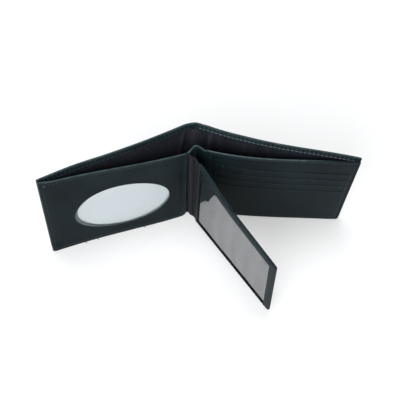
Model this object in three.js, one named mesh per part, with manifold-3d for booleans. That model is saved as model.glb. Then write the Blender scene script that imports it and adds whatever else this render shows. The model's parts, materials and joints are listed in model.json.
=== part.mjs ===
// A bifold leather wallet that stands half open on its bottom edges.
// Two cover leaves fold on a spine. Each carries an inner panel, sewn to it along the outer edge,
// so that a banknote pocket gapes between them. A window flap swings on the left panel.
// Millimetres, +Z up. The origin is the middle of the spine's bottom edge, +X runs to the right
// leaf, and -Y is the side that opens.
import * as THREE from "three";
import { mergeVertices } from "three/addons/utils/BufferGeometryUtils.js";
import Module from "manifold-3d";

const wasm = await Module();
wasm.setup();

// Driving dimensions of the cover
const COVER_HEIGHT = 90;
const LEAF_LENGTH = 110;
const LEATHER = 1.2;
const SPINE_WIDTH = 16;
const SPINE_BOW = 1.2;
const HEM_HEIGHT = 5.5;
const HEM_DEPTH = 0.6;
const HEM_OVERLAP = 0.1;
const CORNER_RADIUS = 3;

// How far the wallet stands open, in radians
const LEAF_ANGLE = THREE.MathUtils.degToRad(20.4);
const GAPE_ANGLE = THREE.MathUtils.degToRad(7.9);
const FLAP_ANGLE = THREE.MathUtils.degToRad(105.6);

// Inner panels
const PANEL_HEIGHT = 84;
const PANEL_LENGTH = 105.5;
const PANEL_CORNER = 7;
const OVAL_ALONG = 57;
const OVAL_UP = 37.5;
const OVAL_HALF_LENGTH = 34;
const OVAL_HALF_HEIGHT = 25;
const WINDOW_MARGINS = { outer: 12, inner: 8, foot: 6, top: 12 };
const DISPLAY_CARD_LENGTH = 92;
const DISPLAY_CARD_HEIGHT = 64;
const DISPLAY_CARD_FOOT = 5.5;
const SLOT_EDGES = [70, 62, 54, 46];
const SLOT_LENGTH = 95.5;

// Window flap
const FLAP_LENGTH = 102.5;
const FLAP_FOOT = 5.3;
const FLAP_TOP_INNER = 80.5;
const FLAP_TOP_OUTER = 78;
const FLAP_START = 11;
const FLAP_CORNER = 1.5;
const FLAP_BORDERS = { inner: 3, outer: 6.2, foot: 2, top: 8, radius: 1 };

// Layers, as depths in front of the surface that each stack starts from
const GAP = 0.3;
const LINING = 0.35;
const LINING_GAP = 0.25;
const LINING_FRONT = LEATHER / 2 + LINING_GAP + LINING;
const LINING_INSET = 1;
const HEM_START = LINING_FRONT + LINING_INSET;
const HEM_SEAM_END = 4;
const SEAM_DEPTH = LINING_FRONT + GAP / 2;
const LEFT_LAYERS = { back: [0.15, 0.45], card: [0.7, 1.1], window: [1.35, 1.6], leather: [1.85, 2.85] };
const RIGHT_LAYERS = { back: [0.15, 0.45], leather: [0.7, 1.5] };
const SLOT_THICKNESS = 0.4;
const SLOT_GAP = 0.2;
const SLOT_STEP = SLOT_THICKNESS + SLOT_GAP;
const SHEET_INSET = 1;
const FLAP_LAYERS = { frame: [0.4, 1.1], window: [1.3, 1.55], divider: [1.75, 2.05], leather: [2.25, 2.95] };

// Soft strips, folded pocket floors and threads
const STRIP = 0.6;
const INNER_SPINE_HALF = 7;
const INNER_SPINE_RISE = 4;
const INNER_SPINE_GAP = 0.4;
const HINGE_START = { along: 0.4, behind: 0.6 };
const HINGE_BEND = { before: 1.4, behind: 0.9 };
const FLOOR_LOW = 1;
const FLOOR_HIGH = 1.6;
const FLOOR_REACH = 88;
const FLOOR_INSET = 1.5;
const THREAD_WIDTH = 0.5;
const THREAD_INSET = 2.2;
const SMALLEST_CORNER = 1;

// Facets of the round stretches
const FOLD_SIDES = 24;
const OVAL_SEGMENTS = 24;
const HUMP_STEPS = 24;

const LEFT = -1;
const RIGHT = 1;

const leather = new THREE.MeshStandardMaterial({ color: 0x1d2528, roughness: 0.42 });
const lining = new THREE.MeshStandardMaterial({ color: 0x17141b, roughness: 0.9 });
const clearSheet = new THREE.MeshStandardMaterial({
  color: 0xcfd6d8,
  roughness: 0.08,
  transparent: true,
  opacity: 0.3,
});
const paper = new THREE.MeshStandardMaterial({ color: 0xdfe4e6, roughness: 0.7 });
const thread = new THREE.MeshStandardMaterial({ color: 0x2b373b, roughness: 0.6 });

function part(name, geometry, material) {
  const mesh = new THREE.Mesh(geometry, material);
  mesh.name = name;
  return mesh;
}

function toSolid(geometry) {
  const bare = geometry.clone();
  bare.deleteAttribute("normal");
  bare.deleteAttribute("uv");
  const merged = mergeVertices(bare);
  const triVerts = new Uint32Array(merged.index.array);
  const vertProperties = merged.attributes.position.array;
  return new wasm.Manifold(new wasm.Mesh({ numProp: 3, vertProperties, triVerts }));
}

function joined(first, ...others) {
  const solid = others.reduce((sum, other) => sum.add(toSolid(other)), toSolid(first));
  const mesh = solid.getMesh();
  const geometry = new THREE.BufferGeometry();
  geometry.setAttribute("position", new THREE.BufferAttribute(mesh.vertProperties, 3));
  geometry.setIndex(new THREE.BufferAttribute(mesh.triVerts, 1));
  return geometry;
}

// A wall that rises from low to high over an outline drawn in plan.
function wall(outline, low, high) {
  const geometry = new THREE.ExtrudeGeometry(outline, {
    depth: high - low,
    bevelEnabled: false,
    curveSegments: 12,
  });
  return geometry.translate(0, 0, low);
}

// An upright sheet whose outline is drawn in length and height, between two depths towards -Y.
function sheet(outline, [near, far], curveSegments = 8) {
  const geometry = new THREE.ExtrudeGeometry(outline, {
    depth: far - near,
    bevelEnabled: false,
    curveSegments,
  });
  return geometry.rotateX(Math.PI / 2).translate(0, -near, 0);
}

// An anticlockwise outline through corners [x, y, radius], each rounded where it has a radius.
function rounded(corners, Outline = THREE.Shape) {
  const points = corners.map(([x, y, radius]) => Object.assign(new THREE.Vector2(x, y), { radius }));
  if (THREE.ShapeUtils.isClockWise(points)) points.reverse();
  const outline = new Outline();
  points.forEach((corner, i) => {
    const radius = corner.radius ?? 0;
    const before = points.at(i - 1);
    const after = points[(i + 1) % points.length];
    const from = corner.clone().addScaledVector(before.clone().sub(corner).normalize(), radius);
    const to = corner.clone().addScaledVector(after.clone().sub(corner).normalize(), radius);
    if (i === 0) outline.moveTo(from.x, from.y);
    else outline.lineTo(from.x, from.y);
    if (radius > 0) outline.quadraticCurveTo(corner.x, corner.y, to.x, to.y);
  });
  outline.closePath();
  return outline;
}

function rectangle(x0, y0, x1, y1) {
  return rounded([[x0, y0], [x1, y0], [x1, y1], [x0, y1]]);
}

// A strip of even thickness along a plan curve.
function strip(curve, thickness, steps = 16) {
  const points = curve.getSpacedPoints(steps);
  const across = points.map((_, i) => {
    const tangent = curve.getTangentAt(i / steps);
    return new THREE.Vector2(-tangent.y, tangent.x).multiplyScalar(thickness / 2);
  });
  const one = points.map((p, i) => p.clone().add(across[i]));
  const other = points.map((p, i) => p.clone().sub(across[i]));
  return new THREE.Shape([...one, ...other.reverse()]);
}

// Spine: a bowed strip of cover leather, its turned hem and its lining
function bowed(halfWidth, depth) {
  const ends = -SPINE_BOW - depth;
  return new THREE.QuadraticBezierCurve(
    new THREE.Vector2(-halfWidth, ends),
    new THREE.Vector2(0, ends + 2 * SPINE_BOW),
    new THREE.Vector2(halfWidth, ends),
  );
}

function spineParts() {
  const half = SPINE_WIDTH / 2 - LEATHER / 2 - GAP;
  const liningHalf = half - LINING_INSET;
  const body = wall(strip(bowed(half, 0), LEATHER), 0, COVER_HEIGHT);
  const hemDepth = (LEATHER + HEM_DEPTH - HEM_OVERLAP) / 2;
  const hemLow = COVER_HEIGHT - HEM_HEIGHT;
  const hem = wall(strip(bowed(liningHalf, hemDepth), HEM_DEPTH + HEM_OVERLAP), hemLow, COVER_HEIGHT);
  const liningDepth = LINING_FRONT - LINING / 2;
  const cloth = wall(strip(bowed(liningHalf, liningDepth), LINING), FLOOR_LOW, hemLow - GAP);
  return [part("cover_spine", joined(body, hem), leather), part("lining_spine", cloth, lining)];
}

// Cover leaves. In a leaf's frame, x = side * distance from the fold, and -Y is inside.
function leafParts(side, word) {
  const hemLow = COVER_HEIGHT - HEM_HEIGHT;
  const outer = side * LEAF_LENGTH;
  const face = rounded([
    [0, 0],
    [outer, 0, CORNER_RADIUS],
    [outer, COVER_HEIGHT, CORNER_RADIUS],
    [0, COVER_HEIGHT],
  ]);
  const turned = rounded([
    [side * HEM_START, hemLow],
    [outer, hemLow],
    [outer, COVER_HEIGHT, CORNER_RADIUS],
    [side * HEM_START, COVER_HEIGHT],
  ]);
  const fold = new THREE.CylinderGeometry(LEATHER / 2, LEATHER / 2, COVER_HEIGHT, FOLD_SIDES);
  fold.rotateX(Math.PI / 2).translate(0, 0, COVER_HEIGHT / 2);
  const body = joined(
    sheet(face, [-LEATHER / 2, LEATHER / 2]),
    sheet(turned, [0, LEATHER / 2 + HEM_DEPTH]),
    fold,
  );
  const liningEnd = side * (LEAF_LENGTH - LINING_INSET);
  const liningOutline = rectangle(side * HEM_START, FLOOR_LOW, liningEnd, hemLow - GAP);
  const cloth = sheet(liningOutline, [LINING_FRONT - LINING, LINING_FRONT]);
  const seamLow = hemLow + THREAD_INSET;
  const seamStart = side * (HEM_START + LINING_INSET);
  const seamEnd = side * (LEAF_LENGTH - HEM_SEAM_END);
  const seam = rectangle(seamStart, seamLow, seamEnd, seamLow + THREAD_WIDTH);
  const seamNear = LEATHER / 2 + HEM_DEPTH + GAP;
  return [
    part(`cover_${word}`, body, leather),
    part(`lining_${word}`, cloth, lining),
    part(`hem_thread_${word}`, sheet(seam, [seamNear, seamNear + GAP]), thread),
  ];
}

// The pocket's folded floor, a wedge of lining between a leaf and its panel.
function pocketFloor(side, word) {
  const behind = -LINING_FRONT - GAP;
  const ahead = GAP / 2 - SEAM_DEPTH;
  const panelBack = (r) => ahead - (LEAF_LENGTH - r) * Math.tan(GAPE_ANGLE);
  const inner = LEAF_LENGTH - PANEL_LENGTH * Math.cos(GAPE_ANGLE) + FLOOR_INSET;
  const outline = rounded([
    [side * inner, behind],
    [side * FLOOR_REACH, behind],
    [side * FLOOR_REACH, panelBack(FLOOR_REACH)],
    [side * inner, panelBack(inner)],
  ]);
  return part(`pocket_floor_${word}`, wall(outline, FLOOR_LOW, FLOOR_HIGH), lining);
}

// Panels. In a panel's frame, x = -side * distance from the outer seam, and depths go towards -Y.
function panelOutline(side, inset = 0, Outline = THREE.Shape) {
  const outer = -side * inset;
  const inner = -side * (PANEL_LENGTH - inset);
  const top = PANEL_HEIGHT - inset;
  const small = Math.max(CORNER_RADIUS - inset, SMALLEST_CORNER);
  const corners = [[outer, inset, small], [inner, inset, PANEL_CORNER], [inner, top], [outer, top, small]];
  return rounded(corners, Outline);
}

// A seam that runs right round a panel, a little in from its edge.
function panelThread(side, word, front) {
  const seam = panelOutline(side, THREAD_INSET);
  seam.holes.push(panelOutline(side, THREAD_INSET + THREAD_WIDTH, THREE.Path));
  return part(`panel_thread_${word}`, sheet(seam, [front + GAP, front + 2 * GAP]), thread);
}

function leftPanelParts() {
  const front = panelOutline(LEFT);
  const oval = new THREE.Path();
  oval.absellipse(OVAL_ALONG, OVAL_UP, OVAL_HALF_LENGTH, OVAL_HALF_HEIGHT, 0, 2 * Math.PI);
  front.holes.push(oval);
  const windowOutline = rectangle(
    OVAL_ALONG - OVAL_HALF_LENGTH - WINDOW_MARGINS.outer,
    OVAL_UP - OVAL_HALF_HEIGHT - WINDOW_MARGINS.foot,
    OVAL_ALONG + OVAL_HALF_LENGTH + WINDOW_MARGINS.inner,
    OVAL_UP + OVAL_HALF_HEIGHT + WINDOW_MARGINS.top,
  );
  const cardStart = OVAL_ALONG - DISPLAY_CARD_LENGTH / 2;
  const cardTop = DISPLAY_CARD_FOOT + DISPLAY_CARD_HEIGHT;
  const cardOutline = rectangle(cardStart, DISPLAY_CARD_FOOT, cardStart + DISPLAY_CARD_LENGTH, cardTop);
  return [
    part("left_panel", sheet(front, LEFT_LAYERS.leather, OVAL_SEGMENTS), leather),
    part("oval_window", sheet(windowOutline, LEFT_LAYERS.window), clearSheet),
    part("display_card", sheet(cardOutline, LEFT_LAYERS.card), paper),
    part("left_pocket_back", sheet(panelOutline(LEFT, SHEET_INSET), LEFT_LAYERS.back), lining),
    panelThread(LEFT, "left", LEFT_LAYERS.leather[1]),
  ];
}

function rightPanelParts() {
  const slots = SLOT_EDGES.map((edge, i) => {
    const near = RIGHT_LAYERS.leather[1] + SLOT_GAP + i * SLOT_STEP;
    const inset = THREAD_INSET + THREAD_WIDTH + 2 * GAP;
    const outline = rectangle(-inset, inset, -inset - SLOT_LENGTH, edge);
    return part(`card_slot_${i + 1}`, sheet(outline, [near, near + SLOT_THICKNESS]), leather);
  });
  return [
    part("right_panel", sheet(panelOutline(RIGHT), RIGHT_LAYERS.leather), leather),
    ...slots,
    part("right_pocket_back", sheet(panelOutline(RIGHT, SHEET_INSET), RIGHT_LAYERS.back), lining),
    panelThread(RIGHT, "right", RIGHT_LAYERS.leather[1]),
  ];
}

// Flap. In its frame, x runs from the hinge to the free end, and the window faces -Y.
function flapTop(x) {
  const share = (x - FLAP_START) / (FLAP_LENGTH - FLAP_START);
  return FLAP_TOP_INNER + (FLAP_TOP_OUTER - FLAP_TOP_INNER) * share;
}

function flapOutline(borders, Outline = THREE.Shape) {
  const { inner, outer, foot, top, radius } = borders;
  const x0 = FLAP_START + inner;
  const x1 = FLAP_LENGTH - outer;
  const low = FLAP_FOOT + foot;
  const corners = [[x0, low], [x1, low, radius], [x1, flapTop(x1) - top, radius], [x0, flapTop(x0) - top]];
  return rounded(corners, Outline);
}

const evenBorder = (inset, radius) => ({ inner: inset, outer: inset, foot: inset, top: inset, radius });

// Flap depths count towards +Y from the hinge line, away from the left panel.
function flapSheet(outline, [near, far]) {
  return sheet(outline, [-far, -near]);
}

function flapParts() {
  const frame = flapOutline(evenBorder(0, FLAP_CORNER));
  frame.holes.push(flapOutline(FLAP_BORDERS, THREE.Path));
  const inside = flapOutline(evenBorder(SHEET_INSET, 0));
  const back = flapOutline(evenBorder(0, FLAP_CORNER));
  const seam = flapOutline(evenBorder(THREAD_INSET, 0));
  seam.holes.push(flapOutline(evenBorder(THREAD_INSET + THREAD_WIDTH, 0), THREE.Path));
  const seamNear = FLAP_LAYERS.leather[1] + GAP;
  return [
    part("flap_frame", flapSheet(frame, FLAP_LAYERS.frame), leather),
    part("flap_window", flapSheet(inside, FLAP_LAYERS.window), clearSheet),
    part("flap_divider", flapSheet(inside, FLAP_LAYERS.divider), lining),
    part("flap_back", flapSheet(back, FLAP_LAYERS.leather), leather),
    part("flap_thread", flapSheet(seam, [seamNear, seamNear + GAP]), thread),
  ];
}

// A strip of cloth that leads from the left panel's inner edge round to the flap.
function flapHingeStrip() {
  const middle = (FLAP_LAYERS.frame[0] + FLAP_LAYERS.leather[1]) / 2;
  const away = new THREE.Vector2(Math.cos(FLAP_ANGLE), Math.sin(FLAP_ANGLE)).negate();
  const aside = new THREE.Vector2(-away.y, away.x);
  const end = away.clone().multiplyScalar(FLAP_START - GAP).addScaledVector(aside, middle);
  const curve = new THREE.QuadraticBezierCurve(
    new THREE.Vector2(HINGE_START.along, HINGE_START.behind),
    new THREE.Vector2(end.x - HINGE_BEND.before, HINGE_BEND.behind),
    end,
  );
  const tall = wall(strip(curve, STRIP), FLAP_FOOT, FLAP_TOP_INNER);
  return part("flap_hinge_strip", tall, lining);
}

// Inner spine: a strip that humps back between the two panels, and the pocket's floor behind it
function innerSpineParts(panelBackY) {
  const ends = panelBackY - INNER_SPINE_GAP;
  const hump = new THREE.Curve();
  hump.getPoint = (t) => {
    const x = (2 * t - 1) * INNER_SPINE_HALF;
    const swell = (1 + Math.cos((Math.PI * x) / INNER_SPINE_HALF)) / 2;
    return new THREE.Vector2(x, ends + INNER_SPINE_RISE * swell);
  };
  const front = ends + INNER_SPINE_RISE + STRIP;
  const behind = -SPINE_BOW - LINING_FRONT - GAP;
  const floorHalf = INNER_SPINE_HALF - LINING_INSET;
  const floor = rectangle(-floorHalf, front, floorHalf, behind);
  return [
    part("inner_spine_strip", wall(strip(hump, STRIP, HUMP_STEPS), 0, PANEL_HEIGHT), leather),
    part("pocket_floor_spine", wall(floor, FLOOR_LOW, FLOOR_HIGH), lining),
  ];
}

// The wallet: leaves turned on the spine, panels on the leaves, the flap on the left panel
const wallet = new THREE.Group();
wallet.add(...spineParts());

function openLeaf(side, word) {
  const leaf = new THREE.Group();
  leaf.position.set((side * SPINE_WIDTH) / 2, -SPINE_BOW, 0);
  leaf.rotation.z = -side * LEAF_ANGLE;
  leaf.add(...leafParts(side, word), pocketFloor(side, word));
  const panel = new THREE.Group();
  panel.position.set(side * LEAF_LENGTH, -SEAM_DEPTH, 0);
  panel.rotation.z = side * GAPE_ANGLE;
  leaf.add(panel);
  wallet.add(leaf);
  return panel;
}

const leftPanel = openLeaf(LEFT, "left");
leftPanel.add(...leftPanelParts());
const rightPanel = openLeaf(RIGHT, "right");
rightPanel.add(...rightPanelParts());

const flapHinge = new THREE.Group();
flapHinge.position.set(PANEL_LENGTH, -LEFT_LAYERS.leather[1], 0);
flapHinge.add(flapHingeStrip());
leftPanel.add(flapHinge);

const flap = new THREE.Group();
flap.rotation.z = Math.PI + FLAP_ANGLE;
flap.add(...flapParts());
flapHinge.add(flap);

leftPanel.updateWorldMatrix(true, false);
const panelBack = new THREE.Vector3(PANEL_LENGTH, 0, 0).applyMatrix4(leftPanel.matrixWorld);
wallet.add(...innerSpineParts(panelBack.y));

export default wallet;
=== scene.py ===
# %% [markdown]
# # A bifold leather wallet
# The wallet stands half open on its bottom edges. Two cover leaves fold on a spine, each leaf carries an
# inner panel that is sewn to it along the outer edge, and a window flap swings on the left panel. The
# measured solids are loaded first. They give every place in this lesson, and thin leather, cloth and
# clear sheet are then made around them as surfaces of their own.

# %% Load the frame
import json

import bmesh
import bpy
import numpy as np
from mathutils import Matrix, Vector


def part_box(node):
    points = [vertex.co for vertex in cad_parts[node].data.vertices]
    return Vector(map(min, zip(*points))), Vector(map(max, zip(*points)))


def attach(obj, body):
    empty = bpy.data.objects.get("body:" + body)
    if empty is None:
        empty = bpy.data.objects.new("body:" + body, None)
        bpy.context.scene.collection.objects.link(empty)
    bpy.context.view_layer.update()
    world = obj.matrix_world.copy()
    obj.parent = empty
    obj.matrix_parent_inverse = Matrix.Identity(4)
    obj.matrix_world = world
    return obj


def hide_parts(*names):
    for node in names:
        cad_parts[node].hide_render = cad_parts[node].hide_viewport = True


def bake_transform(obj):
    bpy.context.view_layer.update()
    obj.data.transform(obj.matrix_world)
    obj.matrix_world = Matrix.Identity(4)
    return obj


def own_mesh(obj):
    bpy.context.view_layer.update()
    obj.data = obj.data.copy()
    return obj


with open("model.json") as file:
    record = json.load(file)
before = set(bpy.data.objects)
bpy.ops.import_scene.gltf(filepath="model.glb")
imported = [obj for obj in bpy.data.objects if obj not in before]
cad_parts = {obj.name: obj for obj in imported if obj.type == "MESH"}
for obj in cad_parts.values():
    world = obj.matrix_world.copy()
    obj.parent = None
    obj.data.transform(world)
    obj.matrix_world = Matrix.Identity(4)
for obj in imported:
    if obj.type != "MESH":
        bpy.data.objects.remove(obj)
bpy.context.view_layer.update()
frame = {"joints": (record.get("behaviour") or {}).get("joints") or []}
MM = 0.001

# %% [markdown]
# ## Where things are
# A wallet is flat pieces that meet on upright hinge lines, so a few plan positions describe all of it.
# The hinge lines are read from the frame, and the angles and lengths of the leaves and panels follow from
# them. Plan coordinates are worked out for the right side and mirrored with a side of -1 or +1.

# %% Hinge lines, angles and lengths
LEFT = -1
RIGHT = 1
WORDS = {LEFT: "left", RIGHT: "right"}
SEAM_DEPTH = 1.35 * MM
LEFT_FRONT = 2.85 * MM
FLAP_OPEN = np.radians(105.6)

joints = {joint["name"]: joint for joint in frame["joints"]}


def hinge_line(name):
    """Plan position of an upright hinge line."""
    return np.array(joints[name]["pos_m"][:2])


FOLD = hinge_line("right_fold")
SEAM = hinge_line("right_pocket")
FLAP_PIVOT = hinge_line("flap_swing")
leaf_reach = SEAM - FOLD
panel_reach = FLAP_PIVOT - hinge_line("left_pocket")
LEAF_LENGTH = np.sqrt(leaf_reach @ leaf_reach - SEAM_DEPTH**2)
PANEL_LENGTH = np.sqrt(panel_reach @ panel_reach - LEFT_FRONT**2)
LEAF_ANGLE = np.arctan2(-leaf_reach[1], leaf_reach[0]) - np.arctan2(SEAM_DEPTH, LEAF_LENGTH)
PANEL_ANGLE = np.arctan2(panel_reach[1], panel_reach[0]) + np.arctan2(LEFT_FRONT, PANEL_LENGTH)
FLAP_BEARING = PANEL_ANGLE + np.pi + FLAP_OPEN
COVER_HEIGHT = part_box("cover_left")[1].z
PANEL_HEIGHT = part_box("left_panel")[1].z
print("leaf", LEAF_LENGTH, np.degrees(LEAF_ANGLE), "panel", PANEL_LENGTH, np.degrees(PANEL_ANGLE))

# %% [markdown]
# A few small formulas come back in nearly every shape: a level-ended step, a bell curve, points built
# from separate coordinates, the least of several distances, and vectors of length one. They take whole
# arrays, as numpy does.

# %% Small formulas


def smooth(x):
    """A step from 0 to 1 whose ends are level: x^2 * (3 - 2x)."""
    x = np.clip(x, 0, 1)
    return x * x * (3 - 2 * x)


def bell(x, width):
    """A bell curve that is 1 at x = 0: e to the power of -(x / width)^2."""
    return np.exp(-((x / width) ** 2))


def stacked(*parts):
    """Coordinates of fitting shapes as one array of points."""
    return np.stack(np.broadcast_arrays(*parts), -1)


def nearest(*distances):
    """The least of several distances at each point."""
    return np.minimum.reduce(np.broadcast_arrays(*distances))


def unit(vectors):
    """Vectors of length one."""
    return vectors / np.linalg.norm(vectors, axis=-1, keepdims=True)


print("half way up a step:", smooth(0.5), "one width off a bell:", bell(1.0, 1.0))

# %% [markdown]
# ## From flat leather to standing leather
# Each leaf, panel and flap has its own flat coordinates: a distance along it, a height and a depth
# towards the inside. One function for each turns those into places in the room. Real leather is never
# quite flat, so the leaves also twist, lean, bow and wave a little, and the right leaf sags next to the
# spine. These are formulas and not sculpted dents, because the layers inside have to follow the same
# ones.

# %% How the leather sways
TWIST = {LEFT: -0.6 * MM, RIGHT: 3.0 * MM}
LEAN = {LEFT: 0, RIGHT: -1.9 * MM}
BOW = {LEFT: 0, RIGHT: 26 * MM}
BOW_FOOT = 0.5
BOW_POWER = 1.9
SOFT_START = 0.03
WAVE = {LEFT: 0.6 * MM, RIGHT: 0}
SAG = {LEFT: 0, RIGHT: 1.4 * MM}
SAG_RISE = 8 * MM
SAG_FALL = 34 * MM
FOOT_REACH = {LEFT: 1.1 * MM, RIGHT: 0}
TOP_REACH = {LEFT: -0.6 * MM, RIGHT: 1.6 * MM}


def sway(side, share, z):
    """Way inwards: a twist about half height, a lean, a wave, and a bow of share * (1 - share)^1.9.

    The bow is half as deep at the foot as at the top.
    """
    eased = np.sqrt(share**2 + SOFT_START**2) - SOFT_START
    bow = BOW[side] * eased * np.clip(1 - share, 0, 1) ** BOW_POWER
    bow = bow * (BOW_FOOT + (1 - BOW_FOOT) * z / COVER_HEIGHT)
    turned = TWIST[side] * (2 * z / COVER_HEIGHT - 1) + LEAN[side]
    return turned * share + bow + WAVE[side] * np.sin(2 * np.pi * share)


def sag(side, s):
    """Way inwards next to the spine: up over one stretch and down over a longer one."""
    return SAG[side] * smooth(s / SAG_RISE) * (1 - smooth((s - SAG_RISE) / SAG_FALL))


def reach(side, z):
    """How much longer the outer end is at a height, evenly from its foot to its top."""
    return FOOT_REACH[side] + (TOP_REACH[side] - FOOT_REACH[side]) * z / COVER_HEIGHT


print("right leaf's sway half way out, at the top:", sway(RIGHT, 0.5, COVER_HEIGHT))

# %% [markdown]
# The cover follows an arc over the spine and then runs straight. The two meet without a corner, because
# the straight part leaves the arc in its own direction. The left leaf's top edge lifts a little on its
# outer half.

# %% Places on the cover
BEND_LENGTH = 8 * MM
BEND_RADIUS = BEND_LENGTH / LEAF_ANGLE
APEX = FOLD[1] + FOLD[0] * np.tan(LEAF_ANGLE) - BEND_RADIUS * (1 / np.cos(LEAF_ANGLE) - 1)
STRAIGHT = FOLD[0] / np.cos(LEAF_ANGLE) + LEAF_LENGTH - BEND_RADIUS * np.tan(LEAF_ANGLE)
COVER_REACH = BEND_LENGTH + STRAIGHT
COVER_RISE = {LEFT: 1.5 * MM, RIGHT: 0}
COVER_RISE_FROM = 0.5
COVER_RISE_OVER = 0.3
COVER_RISE_UP = 70 * MM


def leaf_point(side, s, z, depth):
    """An arc from the spine's middle, then a straight leaf, moved inwards by depth, sway and sag."""
    turn = np.minimum(s, BEND_LENGTH) / BEND_RADIUS
    straight = np.maximum(s - BEND_LENGTH, 0)
    share = np.clip(straight / STRAIGHT, 0, 1)
    straight = straight + share * reach(side, z)
    rise = COVER_RISE[side] * smooth((share - COVER_RISE_FROM) / COVER_RISE_OVER)
    z = z + rise * np.maximum(z - COVER_RISE_UP, 0) / (COVER_HEIGHT - COVER_RISE_UP)
    inwards = depth + sway(side, share, z) + sag(side, s)
    x = BEND_RADIUS * np.sin(turn) + straight * np.cos(turn) - inwards * np.sin(turn)
    y = APEX - BEND_RADIUS * (1 - np.cos(turn)) - straight * np.sin(turn) - inwards * np.cos(turn)
    return stacked(side * x, y, z)


print("cover reach from the spine's middle:", COVER_REACH)

# %% [markdown]
# A panel shares the sway of the leaf that it is sewn to, which keeps the layers in order. Its upper part
# is drawn up towards the outer seam, where its top edge nearly reaches the cover's, and dips towards the
# spine.

# %% Places on the panels
PANEL_RISE = {LEFT: 7.2 * MM, RIGHT: 3.5 * MM}
PANEL_DIP = {LEFT: 1.6 * MM, RIGHT: 0.9 * MM}
RISE_FROM = {LEFT: 20 * MM, RIGHT: 70 * MM}


def panel_point(side, s, z, depth):
    """A straight panel: s runs from the outer seam towards the spine, and depth towards the reader."""
    share = s / PANEL_LENGTH
    rise = PANEL_RISE[side] * (1 - share) - PANEL_DIP[side] * share
    z = z + rise * np.maximum(z - RISE_FROM[side], 0) / (PANEL_HEIGHT - RISE_FROM[side])
    forwards = depth + sway(side, np.clip(1 - s / STRAIGHT, 0, 1), z)
    s = s - (1 - share) * reach(side, z)
    x = SEAM[0] - s * np.cos(PANEL_ANGLE) - forwards * np.sin(PANEL_ANGLE)
    y = SEAM[1] + s * np.sin(PANEL_ANGLE) - forwards * np.cos(PANEL_ANGLE)
    return stacked(side * x, y, z)


print("left panel's outer top corner:", panel_point(LEFT, 0.0, PANEL_HEIGHT, 0.0))

# %% [markdown]
# The flap is a straight page on its own hinge line. It twists a little towards its free end, and its sewn
# end leans away from the left panel at the top, where the hinge cloth pulls on it.

# %% Places on the flap
FLAP_START = 11 * MM
FLAP_TWIST = -1.6 * MM
FLAP_LEAN = 2.2 * MM
HINGE_REACH = 25 * MM


def near_hinge(x):
    """A bell curve along the flap, 1 at its sewn end."""
    return bell(x - FLAP_START, HINGE_REACH)


def flap_point(x, z, depth):
    """A straight page: x from its hinge line to its free end, and depth away from the left panel."""
    twist = FLAP_TWIST * (2 * z / COVER_HEIGHT - 1) * x / PANEL_LENGTH
    away = depth + twist + FLAP_LEAN * near_hinge(x) * z / PANEL_HEIGHT
    along = np.array([np.cos(FLAP_BEARING), np.sin(FLAP_BEARING)])
    px = FLAP_PIVOT[0] + x * along[0] - away * along[1]
    py = FLAP_PIVOT[1] + x * along[1] + away * along[0]
    return stacked(px, py, z)


print("flap's free end:", flap_point(PANEL_LENGTH, 0.0, 0.0))

# %% [markdown]
# ## Camera, floor and light
# The photograph looks down on the wallet from a little to the left, with a long lens. The camera's three
# directions are worked out from its pitch, azimuth and roll and put into one matrix.

# %% Camera
CAMERA_PLACE = np.array([-45.4, -335.4, 532.2]) * MM
CAMERA_PITCH = np.radians(58.16)
CAMERA_AZIMUTH = np.radians(-8.86)
CAMERA_ROLL = np.radians(2.79)
IMAGE_PIXELS = 400
FOCAL_PIXELS = 785.7
SENSOR = 36

forward = np.array(
    [
        -np.sin(CAMERA_AZIMUTH) * np.cos(CAMERA_PITCH),
        np.cos(CAMERA_AZIMUTH) * np.cos(CAMERA_PITCH),
        -np.sin(CAMERA_PITCH),
    ]
)
level = np.array([np.cos(CAMERA_AZIMUTH), np.sin(CAMERA_AZIMUTH), 0])
upright = np.cross(level, forward)
rightwards = np.cos(CAMERA_ROLL) * level + np.sin(CAMERA_ROLL) * upright
upwards = np.cos(CAMERA_ROLL) * upright - np.sin(CAMERA_ROLL) * level
pose = np.eye(4)
pose[:3] = np.stack([rightwards, upwards, -forward, CAMERA_PLACE], 1)
camera = bpy.data.objects.new("camera", bpy.data.cameras.new("camera"))
camera.data.sensor_width = SENSOR
camera.data.lens = SENSOR * FOCAL_PIXELS / IMAGE_PIXELS
camera.matrix_world = Matrix(pose.tolist())
bpy.context.scene.collection.objects.link(camera)
bpy.context.scene.camera = camera
print("lens", round(camera.data.lens, 2), "mm")

# %% [markdown]
# Shader nodes are easier to read when each one is a single line. These helpers add a node, set its
# options and fill its inputs, where an input is either a plain value or another node's output.

# %% Shader helpers
SRGB_STEP = 0.04045
SRGB_SLOPE = 12.92
SRGB_SHIFT = 0.055
SRGB_POWER = 2.4


def add_node(tree, kind, inputs=(), **options):
    """A node with its options set and its inputs filled with values or linked to outputs."""
    node = tree.nodes.new(kind)
    for option, value in options.items():
        setattr(node, option, value)
    for socket, value in dict(inputs).items():
        if isinstance(value, bpy.types.NodeSocket):
            tree.links.new(value, node.inputs[socket])
        else:
            node.inputs[socket].default_value = value
    return node


def mixed(tree, factor, first, second):
    """A colour between two others."""
    mix = add_node(tree, "ShaderNodeMix", {0: factor, 6: first, 7: second}, data_type="RGBA")
    return mix.outputs[2]


def ranged(tree, value, low, high, start=0.0, end=1.0):
    """A value moved from the range start..end to low..high."""
    inputs = {"Value": value, "From Min": start, "From Max": end, "To Min": low, "To Max": high}
    return add_node(tree, "ShaderNodeMapRange", inputs).outputs["Result"]


def arithmetic(tree, operation, first, second):
    """One arithmetic step."""
    return add_node(tree, "ShaderNodeMath", {0: first, 1: second}, operation=operation).outputs[0]


def new_material(name):
    """An empty material with its tree and its Principled shader."""
    material = bpy.data.materials.new(name)
    material.use_nodes = True
    tree = material.node_tree
    return material, tree, tree.nodes["Principled BSDF"]


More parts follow.
